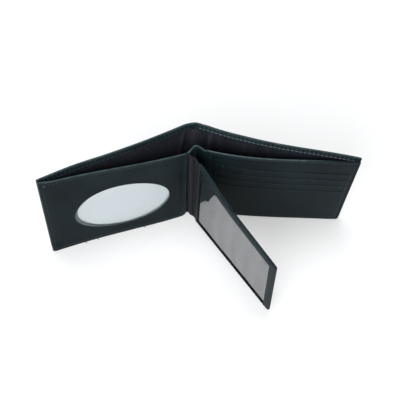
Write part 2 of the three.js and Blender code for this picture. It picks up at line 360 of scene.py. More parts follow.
def object_place(tree):
    """Places on a piece in its own coordinates."""
    return add_node(tree, "ShaderNodeTexCoord").outputs["Object"]


def edge_value(tree):
    """The piece's edge attribute."""
    return add_node(tree, "ShaderNodeAttribute", attribute_name="edge").outputs["Fac"]


def linear(red, green, blue):
    """An sRGB colour of 0 to 255 as the linear colour that shaders take."""
    share = np.array([red, green, blue]) / 255
    curved = ((share + SRGB_SHIFT) / (1 + SRGB_SHIFT)) ** SRGB_POWER
    value = np.where(share <= SRGB_STEP, share / SRGB_SLOPE, curved)
    return (*value.tolist(), 1.0)


print("middle grey is", round(linear(119, 119, 119)[0], 3), "in linear light")

# %% [markdown]
# A finished mesh carries two things for its material: a UV map with its flat coordinates, for weaves, and
# an attribute named edge that says how pale each point is, from rubbing and from a painted highlight along
# rims and fold crests. Points that fall together at poles and seams are merged, so that the surface is
# closed.

# %% Mesh objects
RUB_AND_HIGHLIGHT_REACH = 0.8 * MM
MERGE = 1e-7
SHARP = np.radians(55)


def rub_and_highlight(distance):
    """How pale a point is from rubbing and a painted highlight along the rim: 1 at an edge, 0 a little way
    in.
    """
    return np.exp(-distance / RUB_AND_HIGHLIGHT_REACH)


def build_piece(name, points, faces, uv, edge, finish):
    """A smooth mesh object with its UV map, edge attribute and finish, and its doubled points merged."""
    mesh = bpy.data.meshes.new(name)
    mesh.from_pydata(points.tolist(), [], [list(face) for face in faces])
    loops = np.empty(len(mesh.loops), np.int32)
    mesh.loops.foreach_get("vertex_index", loops)
    layer = mesh.uv_layers.new(name="flat")
    layer.data.foreach_set("uv", uv[loops].astype(np.float32).ravel())
    rub_and_highlight_share = mesh.attributes.new("edge", "FLOAT", "POINT")
    rub_and_highlight_share.data.foreach_set("value", edge.astype(np.float32))
    work = bmesh.new()
    work.from_mesh(mesh)
    bmesh.ops.remove_doubles(work, verts=work.verts, dist=MERGE)
    bmesh.ops.dissolve_degenerate(work, edges=work.edges, dist=MERGE)
    work.to_mesh(mesh)
    work.free()
    mesh.shade_smooth()
    mesh.set_sharp_from_angle(angle=SHARP)
    mesh.materials.append(finish)
    piece = bpy.data.objects.new(name, mesh)
    bpy.context.scene.collection.objects.link(piece)
    return piece


print("rubbed at an edge and a millimetre in:", rub_and_highlight(0.0), rub_and_highlight(MM))

# %% [markdown]
# The floor is plain and pale, with a faint speckle. Rays that show the floor, straight or in a
# reflection, see it a little brighter than it lights the wallet, so the background comes out white
# without more light on the leather.

# %% Floor
STAGE_HALF = 3.0
STAGE_TONES = (0.58, 0.545, 0.535, 1), (0.61, 0.573, 0.563, 1)
STAGE_SPECKLE = 6.0
STAGE_GLOW = 0.42
STAGE_ROUGHNESS = 0.9


def noise(tree, place, scale, detail, **options):
    """The grey value of a cloudy noise."""
    inputs = {"Vector": place, "Scale": scale, "Detail": detail, **options}
    return add_node(tree, "ShaderNodeTexNoise", inputs).outputs["Fac"]


def seen_rays(tree):
    """1 for rays that show a surface, straight or in a reflection, and 0 for rays that carry its light."""
    path = add_node(tree, "ShaderNodeLightPath").outputs
    straight = arithmetic(tree, "MAXIMUM", path["Is Camera Ray"], path["Is Glossy Ray"])
    return arithmetic(tree, "MAXIMUM", straight, path["Is Transmission Ray"])


floor_points = np.array([[-1, -1, 0], [1, -1, 0], [1, 1, 0], [-1, 1, 0]]) * STAGE_HALF
floor_material, tree, floor_shader = new_material("pale_floor")
speckle = noise(tree, object_place(tree), STAGE_SPECKLE, detail=2.0)
floor_tone = mixed(tree, speckle, *STAGE_TONES)
tree.links.new(floor_tone, floor_shader.inputs["Base Color"])
floor_shader.inputs["Roughness"].default_value = STAGE_ROUGHNESS
floor_shader.inputs["Specular IOR Level"].default_value = 0.0
floor_shader.inputs["Emission Color"].default_value = (1, 1, 1, 1)
glow = arithmetic(tree, "MULTIPLY", seen_rays(tree), STAGE_GLOW)
tree.links.new(glow, floor_shader.inputs["Emission Strength"])
floor = build_piece("floor", floor_points, [[0, 1, 2, 3]], floor_points[:, :2], np.zeros(4), floor_material)
print("floor", 2 * STAGE_HALF, "m wide")

# %% [markdown]
# A wide soft box overhead makes the thin bright lines along the top edges, a second one stands in front
# on the left, and an even sky fills the rest. One sharp lamp would be simpler, but the photograph's
# shadows are soft. The sky is also brighter to the rays that show it.

# %% Light
SKY_STRENGTH = 0.4
DAYLIGHT = (0.9, 0.97, 1.0)
SOFTBOXES = {
    "overhead": {"size": 1.0, "place": (-0.1, 0.25, 1.7), "power": 18},
    "front": {"size": 0.9, "place": (-0.65, -1.05, 0.9), "power": 14.5},
}

world = bpy.data.worlds.new("sky")
bpy.context.scene.world = world
world.use_nodes = True
sky = world.node_tree.nodes["Background"]
strength = ranged(world.node_tree, seen_rays(world.node_tree), SKY_STRENGTH, 1.0)
sky.inputs["Color"].default_value = (*DAYLIGHT, 1)
world.node_tree.links.new(strength, sky.inputs["Strength"])

for name, box in SOFTBOXES.items():
    softbox = bpy.data.objects.new(name, bpy.data.lights.new(name, "AREA"))
    softbox.data.size = box["size"]
    softbox.data.energy = box["power"]
    softbox.data.color = DAYLIGHT
    softbox.location = box["place"]
    softbox.rotation_euler = Vector(box["place"]).to_track_quat("Z", "Y").to_euler()
    bpy.context.scene.collection.objects.link(softbox)
    print("softbox", name, box["power"], "W")
bpy.context.scene.view_settings.view_transform = "Standard"

# %% [markdown]
# ## Finishes
# The cover is smooth black leather with a cold blue-green cast, a fine pebble and a soft gloss, and its
# edges are paler, partly from rubbing and partly from a painted highlight. The pockets are lined with a
# matt purple-black weave. Grain, patchy tone, pale edges with their painted highlight and weave are node
# groups, built once and placed in each finish with its own values.

# %% Shared effects
FLOAT = "NodeSocketFloat"
VECTOR = "NodeSocketVector"
PEBBLE_EDGE = 0.3
PORES_PER_CELL = 2.7
PORE_SHARE = 0.5
PATCH_RANGE = (0.3, 0.7)
RUB_HIGHLIGHT_SCALE = 260.0
RUB_HIGHLIGHT_RANGE = (0.3, 0.65)
RUB_HIGHLIGHT_LEAST = 0.45
WAVES_TO_THREADS = np.pi / 10


def shader_group(name, inputs, output):
    """An empty node group with float or vector inputs and one float output, and its two end nodes."""
    tree = bpy.data.node_groups.new(name, "ShaderNodeTree")
    for socket, kind in inputs.items():
        tree.interface.new_socket(socket, in_out="INPUT", socket_type=kind)
    tree.interface.new_socket(output, in_out="OUTPUT", socket_type=FLOAT)
    return tree, tree.nodes.new("NodeGroupInput").outputs, tree.nodes.new("NodeGroupOutput").inputs


grain_group, given, result = shader_group("pebble_grain", {"Place": VECTOR, "Cells": FLOAT}, "Height")
cell_inputs = {"Vector": given["Place"], "Scale": given["Cells"]}
cells = add_node(grain_group, "ShaderNodeTexVoronoi", cell_inputs, feature="DISTANCE_TO_EDGE")
pebble = ranged(grain_group, cells.outputs["Distance"], 0.0, 1.0, 0.0, PEBBLE_EDGE)
finer = arithmetic(grain_group, "MULTIPLY", given["Cells"], PORES_PER_CELL)
pitted = noise(grain_group, given["Place"], finer, detail=3.0)
pores = arithmetic(grain_group, "MULTIPLY", pitted, PORE_SHARE)
grain_group.links.new(arithmetic(grain_group, "ADD", pebble, pores), result["Height"])

patch_group, given, result = shader_group("patchy_tone", {"Place": VECTOR, "Scale": FLOAT}, "Tone")
clouds = noise(patch_group, given["Place"], given["Scale"], detail=4.0, Roughness=0.6)
patch_group.links.new(ranged(patch_group, clouds, 0.0, 1.0, *PATCH_RANGE), result["Tone"])

# The pale edge mask: rubbing and a painted highlight along rims, broken up by noise.
rub_highlight_group, given, result = shader_group("rubbed_edge_and_highlight", {"Place": VECTOR, "Edge": FLOAT}, "Mask")
rub_highlight_noise = noise(rub_highlight_group, given["Place"], RUB_HIGHLIGHT_SCALE, detail=3.0)
uneven = ranged(rub_highlight_group, rub_highlight_noise, RUB_HIGHLIGHT_LEAST, 1.0, *RUB_HIGHLIGHT_RANGE)
rub_highlight_group.links.new(arithmetic(rub_highlight_group, "MULTIPLY", given["Edge"], uneven), result["Mask"])

weave_group, given, result = shader_group("plain_weave", {"Flat": VECTOR, "Threads": FLOAT}, "Height")
over = add_node(weave_group, "ShaderNodeTexChecker", {"Vector": given["Flat"], "Scale": given["Threads"]})
wave_scale = arithmetic(weave_group, "MULTIPLY", given["Threads"], WAVES_TO_THREADS)
band_inputs = {"Vector": given["Flat"], "Scale": wave_scale}
bands = [add_node(weave_group, "ShaderNodeTexWave", band_inputs, bands_direction=way) for way in "XY"]
fronts = [band.outputs["Fac"] for band in bands]
crossing = add_node(weave_group, "ShaderNodeMix", {0: over.outputs["Fac"], 2: fronts[0], 3: fronts[1]})
weave_group.links.new(crossing.outputs[0], result["Height"])
print("groups:", [group.name for group in bpy.data.node_groups])

# %% [markdown]
# The leather's tone wanders between two near blacks, its edges are made paler by the edge attribute, partly
# from rubbing and partly as a painted highlight along rims, and where that attribute passes 1 the leather
# is cut and shows its pale core. A fine pebble is left to a bump, since it is far smaller than any visible
# form.

# %% Black leather
LEATHER_TONES = {
    "dark": linear(10, 20, 25),
    "light": linear(28, 41, 45),
    "rubbed_and_lit": linear(80, 94, 96),
    "cut": linear(118, 128, 128),
}
LEATHER_PATCHES = 26.0
LEATHER_CELLS = 1300.0
LEATHER_GLOSS = (0.35, 0.47)
LEATHER_SHINE = 0.05
LEATHER_BUMP = 0.00004
LEATHER_BUMP_STRENGTH = 0.7
CUT_FROM = 1.05
CUT_FULL = 1.5


def placed(tree, group, **inputs):
    """A node group placed in a material."""
    return add_node(tree, "ShaderNodeGroup", inputs, node_tree=group).outputs[0]


def bumped(tree, shader, height, distance, strength=1.0):
    """Feeds a height into the shader's normal."""
    bump = add_node(tree, "ShaderNodeBump", {"Height": height, "Distance": distance, "Strength": strength})
    tree.links.new(bump.outputs["Normal"], shader.inputs["Normal"])


def leather_finish(name, tones):
    """Smooth pebbled leather: a patchy dark tone, edges paler from rubbing and a painted highlight, a pale
    cut edge and a grain.
    """
    material, tree, shader = new_material(name)
    place = object_place(tree)
    edge = edge_value(tree)
    tone = placed(tree, patch_group, Place=place, Scale=LEATHER_PATCHES)
    mask = placed(tree, rub_highlight_group, Place=place, Edge=edge)
    colour = mixed(tree, mask, mixed(tree, tone, tones["dark"], tones["light"]), tones["rubbed_and_lit"])
    colour = mixed(tree, ranged(tree, edge, 0.0, 1.0, CUT_FROM, CUT_FULL), colour, tones["cut"])
    tree.links.new(colour, shader.inputs["Base Color"])
    tree.links.new(ranged(tree, tone, *LEATHER_GLOSS), shader.inputs["Roughness"])
    shader.inputs["Specular IOR Level"].default_value = LEATHER_SHINE
    grain = placed(tree, grain_group, Place=place, Cells=LEATHER_CELLS)
    bumped(tree, shader, grain, LEATHER_BUMP, LEATHER_BUMP_STRENGTH)
    return material


black_leather = leather_finish("black_leather", LEATHER_TONES)
print("finish:", black_leather.name)

# %% [markdown]
# Three cloths share one weave: the purple lining, the blacker strip that hinges the flap and the divider
# inside the flap. The weave lies on the piece's UV map, which is its flat cloth, so it bends with the
# folds. The edge attribute paints a highlight on the crests of the folds, and it also makes the cloth's
# edges paler.

# %% Cloths
CLOTH_TONES = {
    "purple_lining": [linear(29, 29, 38), linear(59, 59, 72), linear(56, 52, 60)],
    "hinge_cloth": [linear(8, 8, 11), linear(22, 20, 27), linear(50, 46, 58)],
    "divider_cloth": [linear(18, 27, 31), linear(32, 43, 48), linear(42, 52, 57)],
}
CLOTH_PATCHES = 60.0
CLOTH_THREADS = 2600.0
CLOTH_ROUGHNESS = (0.85, 0.6)
CLOTH_SHINE = 0.08
CLOTH_SHEEN = 0.05
CLOTH_BUMP = 0.00006
CLOTH_BUMP_STRENGTH = 0.8


def cloth_finish(name, dark, light, rubbed_and_lit):
    """A matt plain weave on the piece's own flat coordinates, with a painted highlight that makes the
    crests of its folds paler.
    """
    material, tree, shader = new_material(name)
    coordinates = add_node(tree, "ShaderNodeTexCoord").outputs
    tone = placed(tree, patch_group, Place=coordinates["Object"], Scale=CLOTH_PATCHES)
    height = placed(tree, weave_group, Flat=coordinates["UV"], Threads=CLOTH_THREADS)
    woven = mixed(tree, arithmetic(tree, "MULTIPLY", tone, height), dark, light)
    tree.links.new(mixed(tree, edge_value(tree), woven, rubbed_and_lit), shader.inputs["Base Color"])
    tree.links.new(ranged(tree, height, *CLOTH_ROUGHNESS), shader.inputs["Roughness"])
    shader.inputs["Specular IOR Level"].default_value = CLOTH_SHINE
    shader.inputs["Sheen Weight"].default_value = CLOTH_SHEEN
    bumped(tree, shader, height, CLOTH_BUMP, CLOTH_BUMP_STRENGTH)
    return material


cloths = {name: cloth_finish(name, *tones) for name, tones in CLOTH_TONES.items()}
print("cloths:", list(cloths))

# %% [markdown]
# The windows are clear soft vinyl, a glossy see-through sheet with slow ripples, so it is glass with a
# low refraction and a bump. The insert is white card with faint fibres.

# %% Clear sheet and card
VINYL_TINT = (0.99, 1.0, 1.0, 1)
VINYL_ROUGHNESS = 0.05
VINYL_IOR = 1.38
VINYL_RIPPLES = 55.0
VINYL_BUMP = 0.0003
CARD_TONES = linear(227, 232, 235), linear(236, 240, 243)
CARD_FIBRES = 900.0
CARD_ROUGHNESS = (0.6, 0.75)
CARD_BUMP = 0.00002
CARD_BUMP_STRENGTH = 0.5

clear_vinyl, tree, shader = new_material("clear_vinyl")
shader.inputs["Base Color"].default_value = VINYL_TINT
shader.inputs["Roughness"].default_value = VINYL_ROUGHNESS
shader.inputs["IOR"].default_value = VINYL_IOR
shader.inputs["Transmission Weight"].default_value = 1.0
ripples = noise(tree, object_place(tree), VINYL_RIPPLES, detail=1.5)
bumped(tree, shader, ripples, VINYL_BUMP)

white_card, tree, shader = new_material("white_card")
fibres = placed(tree, patch_group, Place=object_place(tree), Scale=CARD_FIBRES)
tree.links.new(mixed(tree, fibres, *CARD_TONES), shader.inputs["Base Color"])
tree.links.new(ranged(tree, fibres, *CARD_ROUGHNESS), shader.inputs["Roughness"])
bumped(tree, shader, fibres, CARD_BUMP, CARD_BUMP_STRENGTH)
print("finishes:", clear_vinyl.name, white_card.name)

# %% [markdown]
# Sewing thread is twisted, which shows as slanted bands along each stitch. The bands are a wave on the UV
# map of the stitch, and the edge attribute makes a stitch paler, from rubbing and, on the right leaf's
# bead row, as a painted highlight.

# %% Thread
THREAD_TONES = linear(16, 25, 29), linear(35, 45, 49)
THREAD_WORN_AND_LIT = linear(86, 100, 104)
THREAD_TWISTS = 1.2
THREAD_ROUGHNESS = (0.7, 0.5)
THREAD_BUMP = 0.00008
THREAD_BUMP_STRENGTH = 0.6

dark_thread, tree, shader = new_material("dark_thread")
twist_inputs = {"Vector": add_node(tree, "ShaderNodeTexCoord").outputs["UV"], "Scale": THREAD_TWISTS}
twist = add_node(tree, "ShaderNodeTexWave", twist_inputs, bands_direction="DIAGONAL").outputs["Fac"]
thread_colour = mixed(tree, edge_value(tree), mixed(tree, twist, *THREAD_TONES), THREAD_WORN_AND_LIT)
tree.links.new(thread_colour, shader.inputs["Base Color"])
tree.links.new(ranged(tree, twist, *THREAD_ROUGHNESS), shader.inputs["Roughness"])
bumped(tree, shader, twist, THREAD_BUMP, THREAD_BUMP_STRENGTH)
print("finishes:", [material.name for material in bpy.data.materials])

# %% [markdown]
# ## Grids and pieces
# Every piece from here on is a grid of points given by a formula, and its faces are the quads between
# neighbouring points. Near an edge, where leather or cloth turns over, the steps of the grid are close
# together, and in between they are even. A Subdivision Surface modifier could round the edges too, but it
# would draw in the corners and the window openings with them.

# %% Steps and faces of a grid
EDGE_STEPS = np.array([0, 0.04, 0.15, 0.33, 0.6])
CORNER_ZONE = 4 * MM
CORNER_STEPS = 6


def spaced(length, count, rim, zone=CORNER_ZONE):
    """Steps over a length, close together in a rim and a corner zone at both ends and even in between."""
    length = np.asarray(length, float)
    edge = EDGE_STEPS * rim
    if zone:
        edge = np.concatenate([edge, np.linspace(rim, zone, CORNER_STEPS)])
    else:
        edge = np.append(edge, rim)
    edge = edge.reshape(-1, *[1] * length.ndim) * np.ones_like(length)
    middle = np.linspace(edge[-1], length - edge[-1], count)[1:-1]
    return np.concatenate([edge, middle, length - edge[::-1]])


def rimmed(steps, rim):
    """A row of steps with the close steps of a round rim at both ends."""
    first = steps[0] + EDGE_STEPS * rim
    last = steps[-1] - EDGE_STEPS[::-1] * rim
    return np.concatenate([first, steps[1:-1], last])


def grid_faces(rows, columns, start=0):
    """Quads of a grid whose points are numbered row by row."""
    corner = start + np.arange(rows * columns).reshape(rows, columns)
    quads = [corner[:-1, :-1], corner[1:, :-1], corner[1:, 1:], corner[:-1, 1:]]
    return np.stack(quads, -1).reshape(-1, 4)


print("quads of a grid of 3 by 4 points:", len(grid_faces(3, 4)))

# %% [markdown]
# Each piece stands for measured solids, which are then hidden. Most pieces also ride on the body that those
# solids are on.

# %% Pieces and bodies


def dress(piece, slot, *nodes):
    """Has a piece stand for the measured solids, which are hidden; slot, its finish's name, is not used."""
    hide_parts(*nodes)
    print(piece.name, len(piece.data.polygons), "faces for", *nodes)


def fit(piece, body, slot, *nodes):
    """Rides a piece on its body and dresses it."""
    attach(piece, body)
    dress(piece, slot, *nodes)


# %% [markdown]
# ## The cover
# The cover is one piece of leather that is turned in along its top edge, so its section is a hook: up the
# outside, over the rim, down the short hem and then down the inside. A seam pulls a groove into the hem,
# and its lower edge is thick, with a painted highlight on the right leaf.

# %% Section of the cover
LEATHER_HALF = 0.6 * MM
HEM_HEIGHT = 4.6 * MM
HEM_FRONT = 1.1 * MM
HEM_GAP = 0.1 * MM
BEAD = 0.55 * MM
BEAD_UP = 0.9 * MM
BEAD_WIDTH = 0.7 * MM
GROOVE_BELOW = 1.9 * MM
GROOVE_DEPTH = 0.35 * MM
GROOVE_WIDTH = 0.55 * MM
GROOVE_OUTSIDE = 0.4
SECTION_COUNTS = {"outside": 30, "hem outside": 14, "rim": 11, "hem": 32, "inside": 24, "foot": 9}


def groove(z):
    """A dent where the hem's seam pulls the leather in, as a bell curve below the rim."""
    return GROOVE_DEPTH * bell(z - COVER_HEIGHT + GROOVE_BELOW, GROOVE_WIDTH)


def hem_bead(z):
    """The thick lower edge of the hem, as a bell curve from 0 to 1."""
    return bell(z - COVER_HEIGHT + HEM_HEIGHT - BEAD_UP, BEAD_WIDTH)


def cover_section():
    """Closed section as depth and height: outside, round rim, hem with its bead, inside and round foot."""
    rim = (HEM_FRONT + LEATHER_HALF) / 2
    rim_middle = (HEM_FRONT - LEATHER_HALF) / 2
    hem_low = COVER_HEIGHT - HEM_HEIGHT
    rim_low = COVER_HEIGHT - rim
    counts = SECTION_COUNTS
    below_hem = np.linspace(LEATHER_HALF, hem_low, counts["outside"])
    up = np.concatenate([below_hem, np.linspace(hem_low, rim_low, counts["hem outside"])[1:]])
    over = np.linspace(np.pi, 0, counts["rim"])[1:-1]
    down = np.linspace(rim_low, hem_low + HEM_GAP, counts["hem"])
    inside = np.linspace(hem_low, LEATHER_HALF, counts["inside"])
    under = np.linspace(0, -np.pi, counts["foot"])[1:-1]
    depth = [
        -LEATHER_HALF + GROOVE_OUTSIDE * groove(up),
        rim_middle + rim * np.cos(over),
        HEM_FRONT + BEAD * hem_bead(down) - groove(down),
        np.full_like(inside, LEATHER_HALF),
        LEATHER_HALF * np.cos(under),
        [-LEATHER_HALF],
    ]
    height = [
        up,
        rim_low + rim * np.sin(over),
        down,
        inside,
        LEATHER_HALF + LEATHER_HALF * np.sin(under),
        [LEATHER_HALF],
    ]
    return np.concatenate(depth), np.concatenate(height)


print("points round the cover's section:", len(cover_section()[0]))

# %% [markdown]
# That section is carried along the plan path from the spine's middle to the outer edge. Each half bends
# at its own fold, so the cover is made in two halves that meet on the spine's middle line.

# %% Cover halves
CORNER_RADIUS = 1.2 * MM
FOOT_CORNER = 2.6 * MM
EDGE_SQUEEZE = 0.2
BEND_ZONE = 1.4 * BEND_LENGTH
STATION_COUNTS = {"bend": 26, "leaf": 56, "end": 16}
BEAD_HIGHLIGHT = 0.7
BEAD_HIGHLIGHT_FROM = -4 * MM
BEAD_HIGHLIGHT_OVER = 22 * MM
RIM_RUB_HIGHLIGHT_INSET = 0.4 * MM


def cover_stations():
    """Distances from the spine's middle: close in the bend and in the round outer edge."""
    bend = np.linspace(0, BEND_ZONE, STATION_COUNTS["bend"])
    leaf = np.linspace(BEND_ZONE, COVER_REACH - FOOT_CORNER, STATION_COUNTS["leaf"])[1:-1]
    end = FOOT_CORNER * (1 - np.sin(np.linspace(0, np.pi / 2, STATION_COUNTS["end"])))
    return np.concatenate([bend, leaf, COVER_REACH - end])


def across_fold(piece):
    """Bakes the piece's placement into its mesh."""
    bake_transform(piece)


def cover_half(side):
    """The hooked section at each station, squeezed to a round edge and round corners at the outer end."""
    depth, height = cover_section()
    s = cover_stations()[:, None]
    left = COVER_REACH - s
    top, foot = (r - np.sqrt(r**2 - np.clip(r - left, 0, None) ** 2) for r in (CORNER_RADIUS, FOOT_CORNER))
    z = foot + height * (1 - (foot + top) / COVER_HEIGHT)
    squeeze = np.maximum(np.sqrt(1 - (1 - np.clip(left / LEATHER_HALF, 0, 1)) ** 2), EDGE_SQUEEZE)
    points = leaf_point(side, s, z, depth * squeeze).reshape(-1, 3)
    rows, columns = z.shape
    ring = np.arange(columns - 1)
    caps = [ring[::side], (ring + (rows - 1) * columns)[::-side]]
    faces = [*grid_faces(rows, columns)[:, ::-side].tolist(), *(cap.tolist() for cap in caps)]
    around = np.cumsum(np.hypot(np.diff(depth, prepend=depth[0]), np.diff(height, prepend=height[0])))
    uv = stacked(side * s, around).reshape(-1, 2)
    rim = nearest(left, z, COVER_HEIGHT - z)
    # The hem's thick lower edge gets a painted highlight, faded in across the spine so only the right leaf
    # has it; the rim is paler from rubbing and a painted highlight.
    rubbed_and_lit = BEAD_HIGHLIGHT * smooth((side * s - BEAD_HIGHLIGHT_FROM) / BEAD_HIGHLIGHT_OVER)
    edge = np.maximum(rub_and_highlight(rim + RIM_RUB_HIGHLIGHT_INSET), rubbed_and_lit * hem_bead(height) * (depth > LEATHER_HALF))
    word = WORDS[side]
    piece = build_piece(f"cover_leather_{word}", points, faces, uv, edge.ravel(), black_leather)
    across_fold(piece)
    dress(piece, "leather", f"cover_{word}", "cover_spine")
    return piece


covers = {side: cover_half(side) for side in WORDS}

# %% [markdown]
# ## Sheets with round rims
# Most of what is inside the cover is a thin sheet: a middle surface with a thickness. Two copies of the
# middle surface are pushed apart along its normals, and towards the edges the push follows a quarter
# ellipse down to nothing, so that the two faces meet in a round rim, as on a folded or burnished edge.
# Solidify would give square rims, and those never catch the light the way leather does. Where the two
# ends of a grid meet, as in a ring, the normals are taken across that seam.

# %% Sheets with round rims


def normals_of(middle):
    """Unit normals of a grid: the cross product of its two directions."""
    return unit(np.cross(np.gradient(middle, axis=0), np.gradient(middle, axis=1)))


def closed_sheet(name, middle, uv, rim, thickness, finish, edge=None, turn=1):
    """Two faces either side of a middle surface that meet in a round rim, rim being the way to the edge.

    A turn of -1 reads the grid's rows backwards, so that the faces of a mirrored grid point outwards.
    """
    edge = rub_and_highlight(rim) if edge is None else edge
    thickness = np.broadcast_to(thickness, rim.shape)
    middle, uv, rim, thickness, edge = (grid[:, ::turn] for grid in (middle, uv, rim, thickness, edge))
    normal = normals_of(middle)
    if np.allclose(middle[:, 0], middle[:, -1]):
        seam = normals_of(np.concatenate([middle[:, -2:-1], middle, middle[:, 1:2]], axis=1))
        normal = seam[:, 1:-1]
    inset = np.clip(rim / (np.max(thickness) / 2), 0, 1)
    half = (thickness / 2 * np.sqrt(1 - (1 - inset) ** 2))[..., None]
    rows, columns = rim.shape
    points = np.concatenate([middle + half * normal, middle - half * normal]).reshape(-1, 3)
    faces = np.concatenate([grid_faces(rows, columns), grid_faces(rows, columns, rim.size)[:, ::-1]])
    uv = np.tile(uv.reshape(-1, 2), (2, 1))
    return build_piece(name, points, faces, uv, np.tile(edge.ravel(), 2), finish)


sample = stacked(np.arange(3.0)[:, None], np.arange(3.0)[None, :], 0.0)
print("normal of a level grid:", normals_of(sample)[1, 1])

# %% [markdown]
# ## The lining
# The banknote pocket is lined with thin cloth that is glued only at its edges, so it gathers into soft
# upright folds near the spine. A cloth simulation could make those folds, but they have to fit a pocket
# that closes flat, so they are listed as a few low ridges, each one a bell curve across its own
# slanting line.

# %% Folds of the lining
CLOTH = 0.3 * MM
LINING_DEPTH = 0.95 * MM
LINING_FOOT = 1.2 * MM
LINING_TOP = COVER_HEIGHT - HEM_HEIGHT - HEM_GAP
FOLD_FADE = 3 * MM
FOLD_FOOT = 3
RIDGE_MIDDLE = 0.7
RIDGES = [
    (0.5, -1.5, 3.9, 1.8),
    (12.8, 1.5, 1.5, 1.9),
    (-11.5, 14, 1.3, 1.5),
    (-20, 5, 1.2, 0.38),
    (-33, -16, 1.3, 0.38),
    (-48, 14, 1.4, 0.36),
    (-66, -11, 1.5, 0.34),
    (-84, 9, 1.6, 0.3),
    (21, -7, 1.3, 0.38),
    (36, 12, 1.5, 0.38),
    (58, -14, 1.6, 0.34),
    (80, 9, 1.6, 0.3),
]


def lining_folds(x, z):
    """Sum of low ridges, each given by its place, its slant over the height, its width and its rise in mm.

    The ridges fade out under the hem and over the lowest third of the height.
    """
    height = z / COVER_HEIGHT
    rise = np.zeros(np.broadcast_shapes(x.shape, z.shape))
    for place, slant, width, top in RIDGES:
        away = x - (place + slant * (height - RIDGE_MIDDLE)) * MM
        rise = rise + top * MM * bell(away, width * MM)
    return rise * smooth((LINING_TOP - z) / FOLD_FADE) * smooth(FOLD_FOOT * height)


print("ridges in the lining:", len(RIDGES))

# %% [markdown]
# The lining follows the cover's own curve at a small depth. Its two halves overlap by a hair on the
# spine's middle line, and the grid is closest near the spine, where the folds are highest.

# %% Lining halves
LINING_END = 1.2 * MM
LINING_LAP = 0.15 * MM
PLEATED = 24 * MM
LINING_COUNTS = {"pleated": 50, "plain": 150, "up": 56}
CREST = 2.2 * MM


def lining_half(side):
    """A cloth sheet that follows the cover from the spine's middle to the outer seam."""
    length = COVER_REACH - LINING_END
    height = LINING_TOP - LINING_FOOT
    near = np.linspace(-LINING_LAP, PLEATED, LINING_COUNTS["pleated"])
    far = np.linspace(PLEATED, length, LINING_COUNTS["plain"])[1:]
    s = rimmed(np.concatenate([near, far]), CLOTH / 2)[None, :]
    z = spaced(height, LINING_COUNTS["up"], CLOTH / 2)[:, None] + LINING_FOOT
    folds = lining_folds(side * s, z)
    middle = leaf_point(side, s, z, LINING_DEPTH + folds)
    rim = nearest(length - s, s + LINING_LAP, z - LINING_FOOT, LINING_TOP - z)
    uv = stacked(side * s, z)
    word = WORDS[side]
    finish = cloths["purple_lining"]
    # The fold height is also the edge attribute, so the crests of the folds get a painted highlight.
    piece = closed_sheet(f"lining_cloth_{word}", middle, uv, rim, CLOTH, finish, folds / CREST, side)
    across_fold(piece)
    dress(piece, "lining", f"lining_{word}", "lining_spine")
    return piece


linings = {side: lining_half(side) for side in WORDS}

# %% [markdown]
# The pocket is closed below by a fold of the same cloth between the leaf and its panel. It is a long
# wedge that is pressed flat when the wallet closes, and it rides on its leaf.

# %% Pocket floors
FLOOR_HEIGHT = 1.3 * MM
FLOOR_RISE = 2.0 * MM
FLOOR_REACH = 88 * MM
FLOOR_START = 0.2 * MM
FLOOR_HALF = 8.0 * MM
FLOOR_LAP = 1.2 * MM
FLOOR_NEAR = LINING_DEPTH + CLOTH / 3
FLOOR_RIM = 0.02
FLOOR_COUNTS = {"along": 50, "across": 14}
BACK_CLOTH = 0.15 * MM


def pocket_depth(r):
    """Depth of the panel's back at a distance from the fold."""
    return SEAM_DEPTH + (LEAF_LENGTH - r) * np.tan(LEAF_ANGLE - PANEL_ANGLE) - BACK_CLOTH


def floor_wedge(side):
    """A sheet between the lining and the panel's back that lifts in a low fold.

    It runs outwards from an upright line that the spine's own floor overlaps.
    """
    word = WORDS[side]
    share = spaced(1.0, FLOOR_COUNTS["across"], FLOOR_RIM, zone=None)[:, None]
    first_depth = FLOOR_NEAR + (pocket_depth(FLOOR_START) - FLOOR_NEAR) * share
    first = (FLOOR_HALF - FLOOR_LAP - FOLD[0] + first_depth * np.sin(LEAF_ANGLE)) / np.cos(LEAF_ANGLE)
    first = np.maximum(first, FLOOR_START)
    r = first + (FLOOR_REACH - first) * np.linspace(0, 1, FLOOR_COUNTS["along"])[None, :]
    s = COVER_REACH - LEAF_LENGTH + r
    far = pocket_depth(r) - sag(side, s)
    gape = far - FLOOR_NEAR
    z = FLOOR_HEIGHT + FLOOR_RISE * np.sin(np.pi * share) * gape / far.max()
    depth = FLOOR_NEAR + gape * share
    middle = leaf_point(side, s, z, depth)
    rim = nearest(share * gape, (1 - share) * gape, r - first, FLOOR_REACH - r)
    finish = cloths["purple_lining"]
    piece = closed_sheet(f"floor_cloth_{word}", middle, stacked(r, depth), rim, CLOTH, finish, turn=-side)
    fit(piece, f"cover_{word}", "lining", f"pocket_floor_{word}")
    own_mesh(piece)


for side in WORDS:
    floor_wedge(side)

# %% [markdown]
# ## Stitches
# A seam is a row of short thread ends that dive into the leather at both ends. Each stitch is a small
# spindle, a circle carried along a short line, and a row places one spindle at even steps along a seam's
# line, turned a little out of line as a machine stitch is. All the spindles of a piece are one array.

# %% Stitch rows
STITCH_PITCH = 3.0 * MM
STITCH_SHARE = 0.74
STITCH_AHEAD = 0.3 * STITCH_PITCH
STITCH_SLANT = 0.14
THREAD_RADIUS = 0.28 * MM
THREAD_SINK = 0.5 * THREAD_RADIUS
SPINDLE_STEPS = 7
SPINDLE_SIDES = 8


